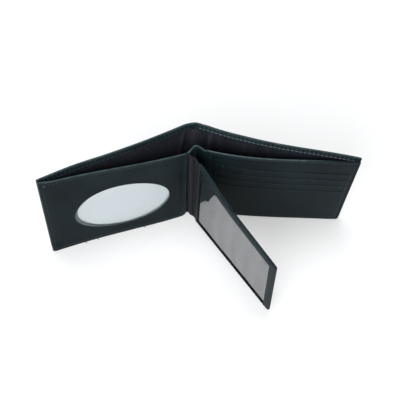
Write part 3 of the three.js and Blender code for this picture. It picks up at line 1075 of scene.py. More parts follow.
def stitch_places(line, normal):
    """Middles, directions and normals of the stitches along a dense line."""
    steps = np.linalg.norm(np.diff(line, axis=0), axis=1)
    travelled = np.concatenate([[0], np.cumsum(steps)])
    count = max(int(travelled[-1] / STITCH_PITCH), 1)
    middles = (np.arange(count) + 0.5) * travelled[-1] / count
    keep = np.concatenate([[True], steps > 0])

    def at(values, where):
        return np.stack([np.interp(where, travelled[keep], values[keep, i]) for i in range(3)], -1)

    ahead = at(line, middles + STITCH_AHEAD) - at(line, middles - STITCH_AHEAD)
    return at(line, middles), ahead, at(normal, middles)


def stitch_rows(name, rows):
    """One mesh of spindles: a circle of radius sqrt(1 - u^2) carried along u, with both ends sunk.

    A row is a line, the normals along it and how pale its thread is, from rubbing and painted highlight.
    """
    parts = [stitch_places(line, normal) for line, normal, rub_and_highlight_share in rows]
    rub_and_highlight_share = np.concatenate([np.full(len(part[0]), row[2]) for part, row in zip(parts, rows)])
    middle, ahead, normal = (np.concatenate(group)[:, None, None, :] for group in zip(*parts))
    ahead = unit(ahead)
    aside = unit(np.cross(normal, ahead))
    normal = np.cross(ahead, aside)
    u = np.linspace(-1, 1, SPINDLE_STEPS)[None, :, None, None]
    turn = np.linspace(0, 2 * np.pi, SPINDLE_SIDES + 1)[None, None, :, None]
    radius = THREAD_RADIUS * np.sqrt(np.clip(1 - u**2, 0, None))
    half = STITCH_PITCH * STITCH_SHARE / 2
    points = (
        middle
        + half * u * (ahead + STITCH_SLANT * aside)
        + radius * (np.cos(turn) * aside + np.sin(turn) * normal)
        - THREAD_SINK * u**2 * normal
    )
    count = len(points)
    each = SPINDLE_STEPS * (SPINDLE_SIDES + 1)
    faces = grid_faces(SPINDLE_STEPS, SPINDLE_SIDES + 1)[:, ::-1]
    faces = (faces[None] + each * np.arange(count)[:, None, None]).reshape(-1, 4)
    uv = np.tile(stacked(u[..., 0], turn[..., 0] / np.pi).reshape(-1, 2), (count, 1))
    piece = build_piece(name, points.reshape(-1, 3), faces, uv, np.repeat(rub_and_highlight_share, each), dark_thread)
    print(name, count, "stitches")
    return piece


print("faces of one stitch:", (SPINDLE_STEPS - 1) * SPINDLE_SIDES)

# %% [markdown]
# The hem is sewn through its groove, so a row shows on both sides. A third row lies on the hem's thick
# lower edge, where the right leaf's thread is painted pale as a highlight. On the outside, one more row
# runs down each leaf's outer edge and back along its foot.

# %% Hem and edge seams
HEM_SEAM_START = 3 * MM
HEM_SEAM_END = 4 * MM
HEM_SEAM_POINTS = 200
HEM_SEAM_SINK = 0.55 * GROOVE_DEPTH
HEM_SEAM_OUTSIDE = 0.3 * GROOVE_DEPTH
HEM_SEAM_WEAR = {LEFT: 0, RIGHT: 0.3}
BEAD_SEAM_HIGHLIGHT = {LEFT: 0, RIGHT: 1}
EDGE_SEAM_INSET = 2.4 * MM
EDGE_SEAM_BELOW = 5 * MM
EDGE_SEAM_POINTS = {"down": 80, "back": 120}
EDGE_SEAM_PROUD = 0.1 * THREAD_RADIUS


def hem_rows(side):
    """Rows along the hem: one on each side of the groove, and one on the hem's thick lower edge."""
    s = np.linspace(HEM_SEAM_START, COVER_REACH - HEM_SEAM_END, HEM_SEAM_POINTS)
    z = np.full_like(s, COVER_HEIGHT - GROOVE_BELOW)
    inside = leaf_point(side, s, z, HEM_FRONT - HEM_SEAM_SINK)
    outside = leaf_point(side, s, z, -LEATHER_HALF + HEM_SEAM_OUTSIDE)
    crest = np.full_like(s, COVER_HEIGHT - HEM_HEIGHT + BEAD_UP)
    lower = leaf_point(side, s, crest, HEM_FRONT + BEAD)
    inwards = unit(inside - outside)
    return [
        (inside, inwards, HEM_SEAM_WEAR[side]),
        (outside, -inwards, 0),
        (lower, inwards, BEAD_SEAM_HIGHLIGHT[side]),
    ]


def edge_row(side):
    """A row down the outside of the leaf, a little in from its outer edge, and back along its foot."""
    down = np.linspace(COVER_HEIGHT - EDGE_SEAM_BELOW, EDGE_SEAM_INSET, EDGE_SEAM_POINTS["down"])
    back = np.linspace(COVER_REACH - EDGE_SEAM_INSET, HEM_SEAM_START, EDGE_SEAM_POINTS["back"])
    s = np.concatenate([np.full_like(down, COVER_REACH - EDGE_SEAM_INSET), back[1:]])
    z = np.concatenate([down, np.full_like(back[1:], EDGE_SEAM_INSET)])
    outside = leaf_point(side, s, z, -LEATHER_HALF + EDGE_SEAM_PROUD)
    inside = leaf_point(side, s, z, LEATHER_HALF)
    return outside, unit(outside - inside), 0


for side, word in WORDS.items():
    row = stitch_rows(f"hem_stitches_{word}", [*hem_rows(side), edge_row(side)])
    across_fold(row)
    dress(row, "thread", f"hem_thread_{word}")

# %% [markdown]
# ## The left panel
# The left panel is leather with an oval window. To cut the oval, the grid runs in rings from the panel's
# outline to the oval, so its first ring is the sewn edge and its last ring is the cut edge. A Boolean
# would cut the hole too, but it leaves no rings to roll and thin the leather along.

# %% Outlines and rings
CORNER_COUNT = 10
SIDE_COUNT = 40


def rounded_outline(low, high, radii, side_count=SIDE_COUNT):
    """Anticlockwise outline of a rectangle with rounded corners, closed by its first point."""
    signs = [(1, 1), (-1, 1), (-1, -1), (1, -1)]
    corners = [(low[0], low[1]), (high[0], low[1]), (high[0], high[1]), (low[0], high[1])]
    arcs = []
    for i, (corner, sign, radius) in enumerate(zip(corners, signs, radii)):
        turn = np.pi + i * np.pi / 2 + np.linspace(0, np.pi / 2, CORNER_COUNT)
        middle = np.array(corner) + radius * np.array(sign)
        arcs.append(middle + radius * stacked(np.cos(turn), np.sin(turn)))
    pieces = []
    for arc, following in zip(arcs, [*arcs[1:], arcs[0]]):
        pieces += [arc, np.linspace(arc[-1], following[0], side_count + 2)[1:-1]]
    return np.concatenate([*pieces, arcs[0][:1]])


def ring_grid(outer, inner, count, rim, zone=None):
    """Flat rings between two outlines, with the distance to the outer and to the inner one."""
    gap = inner - outer
    length = np.linalg.norm(gap, axis=-1)
    steps = spaced(length, count, rim, zone)
    flat = outer + (steps / length)[..., None] * gap
    return flat, steps, length - steps


print("points of an outline:", len(rounded_outline((0, 0), (1, 1), [0.1] * 4)))

# %% [markdown]
# The leather lies level in the middle, is pressed down where it is sewn to the cover, along the outer
# edge and the foot, and kicks forward a little at the foot near the spine. Its edges are rolled thick,
# and a seam dents it a little way in.

# %% Shape of the left panel
PANEL_THICK = 1.0 * MM
LEFT_MIDDLE = LEFT_FRONT - PANEL_THICK / 2
OUTER_PRESS = 1.5 * MM
OUTER_PRESS_OVER = 10 * MM
OUTER_PRESS_UP = 14 * MM
FOOT_PRESS = 0.1 * MM
FOOT_PRESS_UP = 8 * MM
INNER_PRESS = 0.2 * MM
INNER_PRESS_OVER = 6 * MM
KICK = 0.5 * MM
KICK_FROM = 62 * MM
KICK_OVER = 36 * MM
KICK_UP = 26 * MM
SEAM_INSET = 2.9 * MM
SEAM_WIDTH = 0.5 * MM
SEAM_DENT = 0.3 * MM
ROLLED = 0.35 * MM
ROLL_WIDTH = 1.3 * MM


def left_depth(s, z):
    """Middle of the leather: level, less the deeper of two presses, less a third, plus the kick."""
    outer = OUTER_PRESS * (1 - smooth(s / OUTER_PRESS_OVER)) * smooth(z / OUTER_PRESS_UP)
    foot = FOOT_PRESS * (1 - smooth(z / FOOT_PRESS_UP))
    inner = INNER_PRESS * smooth(1 - (PANEL_LENGTH - s) / INNER_PRESS_OVER)
    kick = KICK * smooth((s - KICK_FROM) / KICK_OVER) * (1 - smooth(z / KICK_UP))
    return LEFT_MIDDLE - np.maximum(outer, foot) - inner + kick


def sewn(thickness, rim):
    """Leather that is rolled thick at its edge and dented along a seam a little way in."""
    return thickness + ROLLED * bell(rim, ROLL_WIDTH) - SEAM_DENT * bell(rim - SEAM_INSET, SEAM_WIDTH)


print("left panel's middle and outer edge:", left_depth(40 * MM, 40 * MM), left_depth(0.0, 40 * MM))

# %% [markdown]
# The oval's cut edge shows as a pale lip, widest at its outer end, where the leather bends back towards
# the card. The edge attribute passes 1 on that lip, which is what makes the leather finish show its pale
# core.

# %% Left panel leather
LEFT_CORNER = 3.6 * MM
SMALL_CORNER = 1.2 * MM
INNER_TOP_CORNER = 1 * MM
LEFT_RINGS = 26
LEFT_RUB_HIGHLIGHT_INSET = 0.3 * MM
OVAL_CENTRE = np.array([57.5, 37.5]) * MM
OVAL_HALVES = np.array([34.6, 25]) * MM
OVAL_TILT = np.radians(1.4)
LIP_DROP = 0.6 * MM
LIP_NARROW = 0.02 * MM
LIP_WIDE = 2.0 * MM
LIP_TURN = np.radians(192)
LIP_POWER = 6
LIP_THIN = 0.4
LIP_ZONE = 2.4 * MM
FOOT_HIGHLIGHT = 0.22
FOOT_HIGHLIGHT_UP = 2.2 * MM
FOOT_HIGHLIGHT_WIDTH = 1.0 * MM
CUT_SHARPNESS = 5 * RUB_AND_HIGHLIGHT_REACH


def left_panel():
    """Rings from the outline to a slightly slanting oval, on the pressed middle surface."""
    corners = (FOOT_CORNER, LEFT_CORNER, INNER_TOP_CORNER, SMALL_CORNER)
    outline = rounded_outline((0, 0), (PANEL_LENGTH, PANEL_HEIGHT), corners)
    turn = np.arctan2(*((outline - OVAL_CENTRE) / OVAL_HALVES).T[::-1])
    oval = OVAL_CENTRE + OVAL_HALVES * stacked(np.cos(turn), np.sin(turn))
    oval[:, 1] -= np.tan(OVAL_TILT) * (oval[:, 0] - OVAL_CENTRE[0])
    flat, outer_rim, oval_rim = ring_grid(outline, oval, LEFT_RINGS, PANEL_THICK / 2, LIP_ZONE)
    s, z = flat[..., 0], flat[..., 1]
    crescent = np.maximum(np.cos(turn - LIP_TURN), 0) ** LIP_POWER
    lip_width = LIP_NARROW + (LIP_WIDE - LIP_NARROW) * crescent
    lip = 1 - smooth(oval_rim / lip_width)
    middle = panel_point(LEFT, s, z, left_depth(s, z) - LIP_DROP * lip * crescent)
    rim = np.minimum(outer_rim, oval_rim)
    thickness = sewn(PANEL_THICK, outer_rim) * (1 - LIP_THIN * lip)
    # Pale outline from rubbing and a painted highlight, the pale cut lip, and a painted highlight as a band
    # along the foot's seam.
    rub_and_highlight_share = np.minimum(outer_rim + LEFT_RUB_HIGHLIGHT_INSET, CUT_SHARPNESS * (oval_rim / lip_width - 1))
    edge = np.maximum(rub_and_highlight(rub_and_highlight_share), FOOT_HIGHLIGHT * bell(z - FOOT_HIGHLIGHT_UP, FOOT_HIGHLIGHT_WIDTH))
    piece = closed_sheet("left_panel_leather", middle, flat, rim, thickness, black_leather, edge)
    fit(piece, "panel_left", "leather", "left_panel")


left_panel()

# %% [markdown]
# The sheets behind the oval are rectangles with rounded corners. A Bevel on a flat rectangle would round
# them too, but then the grid has no rows to bend. So each row of the grid is made as long as the corners
# leave it at its height, and the distance to the outline comes out of the same lines.

# %% Rectangles with round corners


def rounded_grid(length, height, radii, counts, rim):
    """Flat grid of a rectangle with rounded corners: each row is as long as the corners leave it."""
    low_start, low_end, high_start, high_end = radii

    def bite(z, low, high):
        foot = low - np.sqrt(np.maximum(low**2 - np.maximum(low - z, 0) ** 2, 0))
        head = high - np.sqrt(np.maximum(high**2 - np.maximum(high - (height - z), 0) ** 2, 0))
        return foot + head

    z = spaced(height, counts[1], rim)[:, None]
    start = bite(z, low_start, high_start)
    end = length - bite(z, low_end, high_end)
    share = spaced(length, counts[0], rim)[None, :] / length
    x = start + (end - start) * share
    z = np.broadcast_to(z, x.shape)
    return x, z, nearest(x - start, end - x, z, height - z)


print("rows over a panel's height:", len(spaced(PANEL_HEIGHT, SIDE_COUNT, CLOTH / 2)))

# %% [markdown]
# Behind the oval lie a clear sheet and a plain white card, and cloth closes the back of the pocket. All
# are plain sheets with round corners, in that order. The card rides on its own body, because it slides up
# and out. The right panel has the same cloth behind it.

# %% Oval window, card and pocket backs
SHEETS_BEHIND = {
    "oval_vinyl": {"start": (14, 7), "size": (86, 60), "corner": 1.5, "depth": 1.62, "thick": 0.2},
    "insert_card": {"start": (15, 5.5), "size": (84, 64), "corner": 3, "depth": 0.72, "thick": 0.3},
}
POCKET_BACK_DEPTH = 0.3 * MM
POCKET_BACK_INSET = 1.0 * MM
POCKET_BACK_BELOW = 6.5 * MM
POCKET_BACK_CORNER = 2 * MM
PANEL_SHEET_COUNTS = (40, 34)
SHEET_RUB_HIGHLIGHT_INSET = 1.9 * MM


def panel_sheet(name, side, start, size, corner, depth, thickness, finish):
    """A flat sheet with round corners in a panel's own coordinates."""
    x, z, rim = rounded_grid(size[0], size[1], [corner] * 4, PANEL_SHEET_COUNTS, thickness / 2)
    s = start[0] + x
    z = start[1] + z
    middle = panel_point(side, s, z, depth)
    # Paler rim from rubbing and a painted highlight.
    return closed_sheet(name, middle, stacked(s, z), rim, thickness, finish, rub_and_highlight(rim + SHEET_RUB_HIGHLIGHT_INSET), -side)


def sheet_behind(name, finish):
    """One of the sheets behind the oval, from its sizes in millimetres."""
    sizes = SHEETS_BEHIND[name]
    start, size = (np.array(sizes[key]) * MM for key in ("start", "size"))
    corner, depth, thick = (sizes[key] * MM for key in ("corner", "depth", "thick"))
    return panel_sheet(name, LEFT, start, size, corner, depth, thick, finish)


fit(sheet_behind("oval_vinyl", clear_vinyl), "panel_left", "clear_sheet", "oval_window")
fit(sheet_behind("insert_card", white_card), "insert", "card", "display_card")
back_start = np.full(2, POCKET_BACK_INSET)
back_height = PANEL_HEIGHT - POCKET_BACK_INSET - POCKET_BACK_BELOW
back_size = np.array([PANEL_LENGTH - 2 * POCKET_BACK_INSET, back_height])
back_shape = (back_start, back_size, POCKET_BACK_CORNER, POCKET_BACK_DEPTH, CLOTH)
for side, word in WORDS.items():
    back = panel_sheet(f"{word}_pocket_cloth", side, *back_shape, cloths["purple_lining"])
    fit(back, f"panel_{word}", "lining", f"{word}_pocket_back")

# %% [markdown]
# ## The right panel
# The right panel is a leather base with four stepped card pockets. The base is pressed down along its
# outer seam. Its paler edge, from rubbing and a painted highlight, fades out towards that seam.

# %% Right panel
RIGHT_MIDDLE = 1.1 * MM
RIGHT_THICK = 0.8 * MM
RIGHT_LAP = 0.6 * MM
RIGHT_PRESS = 0.45 * MM
RIGHT_PRESS_OVER = 10 * MM
RIGHT_COUNTS = (60, 50)
RIGHT_RUB_HIGHLIGHT_FROM = 12 * MM
RIGHT_RUB_HIGHLIGHT_OVER = 34 * MM
PANEL_CORNER = 5 * MM


def right_depth(s, z):
    """Middle of the base: level, and pressed down towards the outer seam, the same at every height z."""
    return RIGHT_MIDDLE - RIGHT_PRESS * (1 - smooth(s / RIGHT_PRESS_OVER))


def right_panel():
    """The base sheet, with its rolled and sewn edge."""
    radii = (FOOT_CORNER, PANEL_CORNER, SMALL_CORNER, INNER_TOP_CORNER)
    s, z, rim = rounded_grid(PANEL_LENGTH + RIGHT_LAP, PANEL_HEIGHT, radii, RIGHT_COUNTS, RIGHT_THICK / 2)
    middle = panel_point(RIGHT, s, z, right_depth(s, z))
    # Paler edge from rubbing and a painted highlight along the top, faded out towards the outer seam.
    rub_and_highlight_share = rub_and_highlight(nearest(s, z, PANEL_HEIGHT - z)) * smooth((s - RIGHT_RUB_HIGHLIGHT_FROM) / RIGHT_RUB_HIGHLIGHT_OVER)
    thickness = sewn(RIGHT_THICK, rim)
    uv = stacked(s, z)
    piece = closed_sheet("right_panel_leather", middle, uv, rim, thickness, black_leather, rub_and_highlight_share, -RIGHT)
    fit(piece, "panel_right", "leather", "right_panel")


right_panel()

# %% [markdown]
# Each card pocket is a thin strip whose top edge is turned over, and each one covers the strip behind it.
# They are sewn down along both sides, so the strips lie closer together there than in the middle, and
# their mouths sag a little between the seams.

# %% Card pockets
SLOT_EDGES = np.array([70, 62, 54, 46]) * MM
SLOT_START = 3.3 * MM
SLOT_LENGTH = 95.5 * MM
SLOT_THICK = 0.2 * MM
SLOT_FIRST = 1.67 * MM
SLOT_STEP = 0.23 * MM
SLOT_SEWN = 0.8
SLOT_SPREAD = 0.2
SLOT_LOOSE_OVER = 12 * MM
SLOT_SAG = 0.5 * MM
SLOT_ROLL = 0.02 * MM
SLOT_ROLL_WIDTH = 0.9 * MM
SLOT_CORNER = 0.5 * MM
SLOT_COUNTS = (60, 40)
SLOT_RUB_HIGHLIGHT_INSET = 1.1 * MM


def slot_depth(i, s, z):
    """Middle of a pocket strip: a step in front of the last one, and closer to it along the sewn sides."""
    side = np.minimum(s - SLOT_START, SLOT_START + SLOT_LENGTH - s)
    loose = SLOT_SEWN + SLOT_SPREAD * smooth(side / SLOT_LOOSE_OVER)
    return right_depth(s, z) + (SLOT_FIRST - RIGHT_MIDDLE) + i * SLOT_STEP * loose


def card_slot(i, top):
    """A pocket strip with a turned and slightly sagging top edge."""
    height = top - SLOT_START
    x, z, rim = rounded_grid(SLOT_LENGTH, height, [SLOT_CORNER] * 4, SLOT_COUNTS, SLOT_THICK / 2)
    s = SLOT_START + x
    up = SLOT_START + z - SLOT_SAG * np.sin(np.pi * x / SLOT_LENGTH) * (z / height) ** 2
    thickness = SLOT_THICK + SLOT_ROLL * bell(height - z, SLOT_ROLL_WIDTH)
    middle = panel_point(RIGHT, s, up, slot_depth(i, s, up))
    # Paler top edge from rubbing and a painted highlight.
    edge = rub_and_highlight(rim + SLOT_RUB_HIGHLIGHT_INSET)
    name = f"card_slot_leather_{i + 1}"
    piece = closed_sheet(name, middle, stacked(s, up), rim, thickness, black_leather, edge, -RIGHT)
    fit(piece, "panel_right", "leather", f"card_slot_{i + 1}")


for i, top in enumerate(SLOT_EDGES):
    card_slot(i, top)

# %% [markdown]
# Each panel is sewn right round, and each card pocket is held at the ends of its mouth by a short row of
# close stitches, a bar tack, which takes the strain of pulling cards out. The left panel's seam starts
# with one bright stitch at its outer top corner, and a few thread ends stick out at its foot.

# %% Panel seams
SEAM_WEAR = {LEFT: 0.1, RIGHT: 0}
SEAM_CORNER = 0.3 * MM
SEAM_SIDE_COUNT = 80
TACK = 5 * MM
TACK_BELOW = 1.4 * MM
TACK_POINTS = 12
STITCH_POINTS = 8
LOOSE_BACK = 1.2 * MM
LOOSE_ASIDE = 0.8 * MM
LOOSE_ENDS = [25 * MM, 34.5 * MM, 71 * MM]
CORNER_STITCH = np.array([2.6, 79.5]) * MM


def panel_row(side, s, z, front, rub_and_highlight_share):
    """A row on a panel's front, with normals that point away from the leather behind it."""
    line = panel_point(side, s, z, front)
    behind = panel_point(side, s, z, front - PANEL_THICK)
    return line, unit(line - behind), rub_and_highlight_share


def panel_seam(side, depth_of, thickness):
    """A row that runs right round a panel, a little way in, on the front of its leather."""
    low = (SEAM_INSET, SEAM_INSET)
    high = (PANEL_LENGTH - SEAM_INSET, PANEL_HEIGHT - SEAM_INSET)
    radii = [SEAM_CORNER, PANEL_CORNER - SEAM_INSET, SEAM_CORNER, SEAM_CORNER]
    s, z = rounded_outline(low, high, radii, SEAM_SIDE_COUNT).T
    return panel_row(side, s, z, depth_of(s, z) + (thickness - SEAM_DENT) / 2, SEAM_WEAR[side])


def tack_row(i, top, middle):
    """A short row along a pocket's mouth, at one end of it."""
    s = middle + np.linspace(-TACK / 2, TACK / 2, TACK_POINTS)
    z = np.full_like(s, top - TACK_BELOW)
    return panel_row(RIGHT, s, z, slot_depth(i, s, z) + SLOT_THICK / 2, 0)


def loose_end(start):
    """A thread end that sticks out at the left panel's foot."""
    s = start + np.linspace(0, LOOSE_ASIDE, STITCH_POINTS)
    front = LEFT_FRONT - LOOSE_BACK + np.linspace(0, STITCH_PITCH, STITCH_POINTS)
    line = panel_point(LEFT, s, np.full(STITCH_POINTS, THREAD_RADIUS), front)
    return line, np.broadcast_to((0.0, 0.0, 1.0), line.shape), 0


def corner_stitch():
    """The bright first stitch of the left panel's seam, at its outer top corner."""
    s = CORNER_STITCH[0] + np.linspace(0, STITCH_PITCH, STITCH_POINTS)
    z = np.full(STITCH_POINTS, CORNER_STITCH[1])
    return panel_row(LEFT, s, z, left_depth(s, z) + PANEL_THICK / 2, 1)


left_seam = [panel_seam(LEFT, left_depth, PANEL_THICK), corner_stitch()]
left_stitches = stitch_rows("left_panel_stitches", [*left_seam, *map(loose_end, LOOSE_ENDS)])
fit(left_stitches, "panel_left", "thread", "panel_thread_left")
tack_places = [SLOT_START + TACK, SLOT_START + SLOT_LENGTH - TACK]
tacks = [tack_row(i, top, s) for i, top in enumerate(SLOT_EDGES) for s in tack_places]
right_seam = panel_seam(RIGHT, right_depth, RIGHT_THICK)
right_stitches = stitch_rows("right_panel_stitches", [right_seam, *tacks])
fit(right_stitches, "panel_right", "thread", "panel_thread_right")

# %% [markdown]
# ## The inner spine
# A strip joins the two panels and humps back into the pocket between them. As the wallet closes it moves
# into the spine and flattens, so it rides on its own body. Its foot lifts at both ends to clear the
# panels' round corners.

# %% Inner spine strip
HUMP_HALF = 7.1 * MM
HUMP_FOOT = FLAP_PIVOT[1] + 1.2 * MM
HUMP_RISE = 5.2 * MM
HUMP_THICK = 0.9 * MM
HUMP_TILT = 0.25 * MM
HUMP_TOP = PANEL_HEIGHT - 1.2 * MM
HUMP_LIFT = 4 * MM
HUMP_CORNER = 5 * MM
HUMP_COUNTS = {"across": 60, "up": 30}


def hump_line(share):
    """Plan line of the strip: a raised cosine over a slightly tilted line."""
    return HUMP_FOOT + HUMP_TILT * share + HUMP_RISE * (1 + np.cos(np.pi * share)) / 2


def inner_spine():
    """The plan line carried up to the panels' height."""
    share = np.linspace(-1, 1, HUMP_COUNTS["across"])[None, :]
    foot = HUMP_LIFT + HUMP_CORNER * smooth(2 * np.abs(share) - 1)
    up = spaced(1.0, HUMP_COUNTS["up"], HUMP_THICK / 2 / HUMP_TOP, zone=None)[:, None]
    z = foot + (HUMP_TOP - foot) * up
    x = HUMP_HALF * share
    middle = stacked(x, hump_line(share), z)
    ends = np.minimum(z - foot, HUMP_TOP - z)
    rim = np.minimum(ends, HUMP_HALF - np.abs(x))
    name = "inner_spine_leather"
    # The top and foot edges are paler from rubbing and a painted highlight.
    piece = closed_sheet(name, middle, stacked(x, z), rim, HUMP_THICK, black_leather, rub_and_highlight(ends), turn=-1)
    fit(piece, "inner_spine", "leather", "inner_spine_strip")
    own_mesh(piece)


inner_spine()

# %% [markdown]
# Between that strip and the spine's lining, the pocket has a small floor of its own. It lies against the
# back of the hump and along the arc of the lining, and laps over the inner ends of the two long floors.

# %% Spine floor
SPINE_FLOOR_HEIGHT = 0.8 * MM
SPINE_FLOOR_RISE = 1.2 * MM
SPINE_FLOOR_COUNTS = {"across": 40, "back": 16}


def spine_floor():
    """A cloth floor from an arc along the spine's lining to the back of the hump, lifted in a low fold."""
    across = np.linspace(-1, 1, SPINE_FLOOR_COUNTS["across"])
    x = FLOOR_HALF * rimmed(across, CLOTH / 2 / FLOOR_HALF)[None, :]
    low = hump_line(np.clip(x / HUMP_HALF, -1, 1)) + HUMP_THICK
    high = APEX - BEND_RADIUS + np.sqrt((BEND_RADIUS - FLOOR_NEAR) ** 2 - x**2)
    share = spaced(1.0, SPINE_FLOOR_COUNTS["back"], FLOOR_RIM, zone=None)[::-1, None]
    y = low + (high - low) * share
    z = SPINE_FLOOR_HEIGHT + SPINE_FLOOR_RISE * np.sin(np.pi * share)
    middle = stacked(x, y, z)
    rim = nearest(FLOOR_HALF - np.abs(x), y - low, high - y)
    finish = cloths["purple_lining"]
    piece = closed_sheet("floor_cloth_middle", middle, middle[..., :2], rim, CLOTH, finish)
    fit(piece, "spine", "lining", "pocket_floor_spine")
    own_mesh(piece)


spine_floor()

# %% [markdown]
# ## The window flap
# The flap is a leather frame round a clear sheet, with a cloth divider and a leather back behind it. Its
# top edge stands a little lower than the measured solid's and falls towards the free end, and all its
# layers are drawn together along the sewn edge. The frame is made in rings again, from the flap's outline
# to its window.

# %% Flap frame
FLAP_END = 103.5 * MM
FLAP_BELOW = 2.2 * MM
FLAP_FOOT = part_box("flap_frame")[0].z
FLAP_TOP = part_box("flap_frame")[1].z - FLAP_BELOW
FLAP_TAPER = 3.1 * MM
FLAP_PEAK = 2.4 * MM
FLAP_RUB_HIGHLIGHT_INSET = 1.2 * MM
HINGE_RUB_HIGHLIGHT_INSET = 0.4 * MM
FLAP_CORNER = 1.5 * MM
HINGE_CORNER = 0.4 * MM
FLAP_BORDERS = {"inner": 3 * MM, "outer": 6.2 * MM, "foot": 1.8 * MM, "top": 6.8 * MM}
WINDOW_CORNER = 1 * MM
FLAP_PINCH = 3 * MM
FRAME_PINCH = 0.3 * MM
FRAME_DEPTH = 0.75 * MM
FRAME_THICK = 0.7 * MM
FRAME_RINGS = 10


def flap_share(x):
    """Share of the way from the flap's sewn end to its free end."""
    return (x - FLAP_START) / (FLAP_END - FLAP_START)


def flap_taper(x, z):
    """Height on the flap, whose top edge falls towards its free end from a peak at the hinge."""
    rise = FLAP_PEAK * near_hinge(x) - FLAP_TAPER * flap_share(x)
    return FLAP_FOOT + (z - FLAP_FOOT) * (1 + rise / (FLAP_TOP - FLAP_FOOT))


def pinched(rim):
    """1 at the flap's sewn edge, falling to 0 a little way in."""
    return 1 - smooth(rim / FLAP_PINCH)


def frame_depth(rim):
    """Middle of the frame, drawn towards the back along the sewn edge."""
    return FRAME_DEPTH + FRAME_PINCH * pinched(rim)


def flap_frame():
    """Rings from the flap's outline to its window, level in the middle and drawn in at the edge."""
    corners = [HINGE_CORNER, FLAP_CORNER, FLAP_CORNER, HINGE_CORNER]
    outer = rounded_outline((FLAP_START, FLAP_FOOT), (FLAP_END, FLAP_TOP), corners)
    low = (FLAP_START + FLAP_BORDERS["inner"], FLAP_FOOT + FLAP_BORDERS["foot"])
    high = (FLAP_END - FLAP_BORDERS["outer"], FLAP_TOP - FLAP_BORDERS["top"])
    inner = rounded_outline(low, high, [WINDOW_CORNER] * 4)
    flat, outer_rim, inner_rim = ring_grid(outer, inner, FRAME_RINGS, FRAME_THICK / 2)
    x = flat[..., 0]
    middle = flap_point(x, flap_taper(x, flat[..., 1]), frame_depth(outer_rim))
    rim = np.minimum(outer_rim, inner_rim)
    # Paler outer rim from rubbing and a painted highlight, and a painted highlight as a teal line along the
    # sewn end.
    edge = np.maximum(rub_and_highlight(outer_rim + FLAP_RUB_HIGHLIGHT_INSET), rub_and_highlight(x - FLAP_START + HINGE_RUB_HIGHLIGHT_INSET))
    piece = closed_sheet("flap_frame_leather", middle, flat, rim, FRAME_THICK, black_leather, edge)
    fit(piece, "flap", "leather", "flap_frame")


flap_frame()

# %% [markdown]
# The clear sheet is soft vinyl, and its slow waves break up what it reflects, which is what makes it look
# like vinyl and not like glass. So the waves are modelled, as a sum of two sines, and not left to the
# finish alone. The divider lies level behind it, and the back swells a little in its middle.

# %% Sheets inside the flap
VINYL_DEPTH = 1.42 * MM
VINYL_THICK = 0.22 * MM
VINYL_INSET = 0.4 * MM
VINYL_COUNTS = (110, 70)
VINYL_WAVE = 0.13 * MM
VINYL_WAVE_STEP = 2.4 * MM
VINYL_WANDER = 1.1
VINYL_WANDER_STEP = 15 * MM
VINYL_CROSS = 0.3
VINYL_CROSS_STEPS = (6 * MM, 8 * MM)
VINYL_STILL = {"inner": 4 * MM, "top": 6 * MM, "foot": 1 * MM}
VINYL_STILL_OVER = 14 * MM
DIVIDER_DEPTH = 1.9 * MM
DIVIDER_INSET = 1 * MM
SHEET_CORNER = 0.5 * MM
SHEET_COUNTS = (60, 44)
BACK_DEPTH = 2.6 * MM
BACK_THICK = 0.7 * MM
BACK_SWELL = 0.25 * MM
BACK_PINCH = 0.65 * MM


def vinyl_depth(x, z):
    """A wandering sine along the sheet and a weaker slanting one, which die out at its sewn edges."""
    wander = VINYL_WANDER * np.sin(z / VINYL_WANDER_STEP)
    cross = VINYL_CROSS * np.sin(z / VINYL_CROSS_STEPS[1] - x / VINYL_CROSS_STEPS[0])
    waves = np.sin(x / VINYL_WAVE_STEP + wander) + cross
    inside = smooth((x - FLAP_START - VINYL_STILL["inner"]) / VINYL_STILL_OVER)
    inside = inside * smooth((FLAP_TOP - z - VINYL_STILL["top"]) / VINYL_STILL_OVER)
    inside = inside * smooth((z - FLAP_FOOT - VINYL_STILL["foot"]) / VINYL_STILL_OVER)
    return VINYL_DEPTH + VINYL_WAVE * waves * inside


def divider_depth(x, z):
    """The divider is level."""
    return np.full_like(x, DIVIDER_DEPTH)


def back_depth(x, z):
    """The flap's back is drawn towards the frame along the sewn edge, and swells a little in its middle."""
    swell = BACK_SWELL * np.sin(np.pi * flap_share(x)) * np.sin(np.pi * z / (FLAP_TOP + FLAP_FOOT))
    rim = nearest(x - FLAP_START, FLAP_END - x, z - FLAP_FOOT, flap_taper(x, FLAP_TOP) - z)
    return BACK_DEPTH + swell - BACK_PINCH * pinched(rim)


def flap_sheet(name, inset, radii, depth_of, thickness, finish, counts=SHEET_COUNTS):
    """A sheet over the flap's outline, at the depth that a function gives."""
    length = FLAP_END - FLAP_START - 2 * inset
    height = FLAP_TOP - FLAP_FOOT - 2 * inset
    x, z, rim = rounded_grid(length, height, radii, counts, thickness / 2)
    x = x + FLAP_START + inset
    z = flap_taper(x, z + FLAP_FOOT + inset)
    middle = flap_point(x, z, depth_of(x, z))
    # Paler rim from rubbing and a painted highlight.
    edge = rub_and_highlight(rim + FLAP_RUB_HIGHLIGHT_INSET)
    return closed_sheet(name, middle, stacked(x, z), rim, thickness, finish, edge)


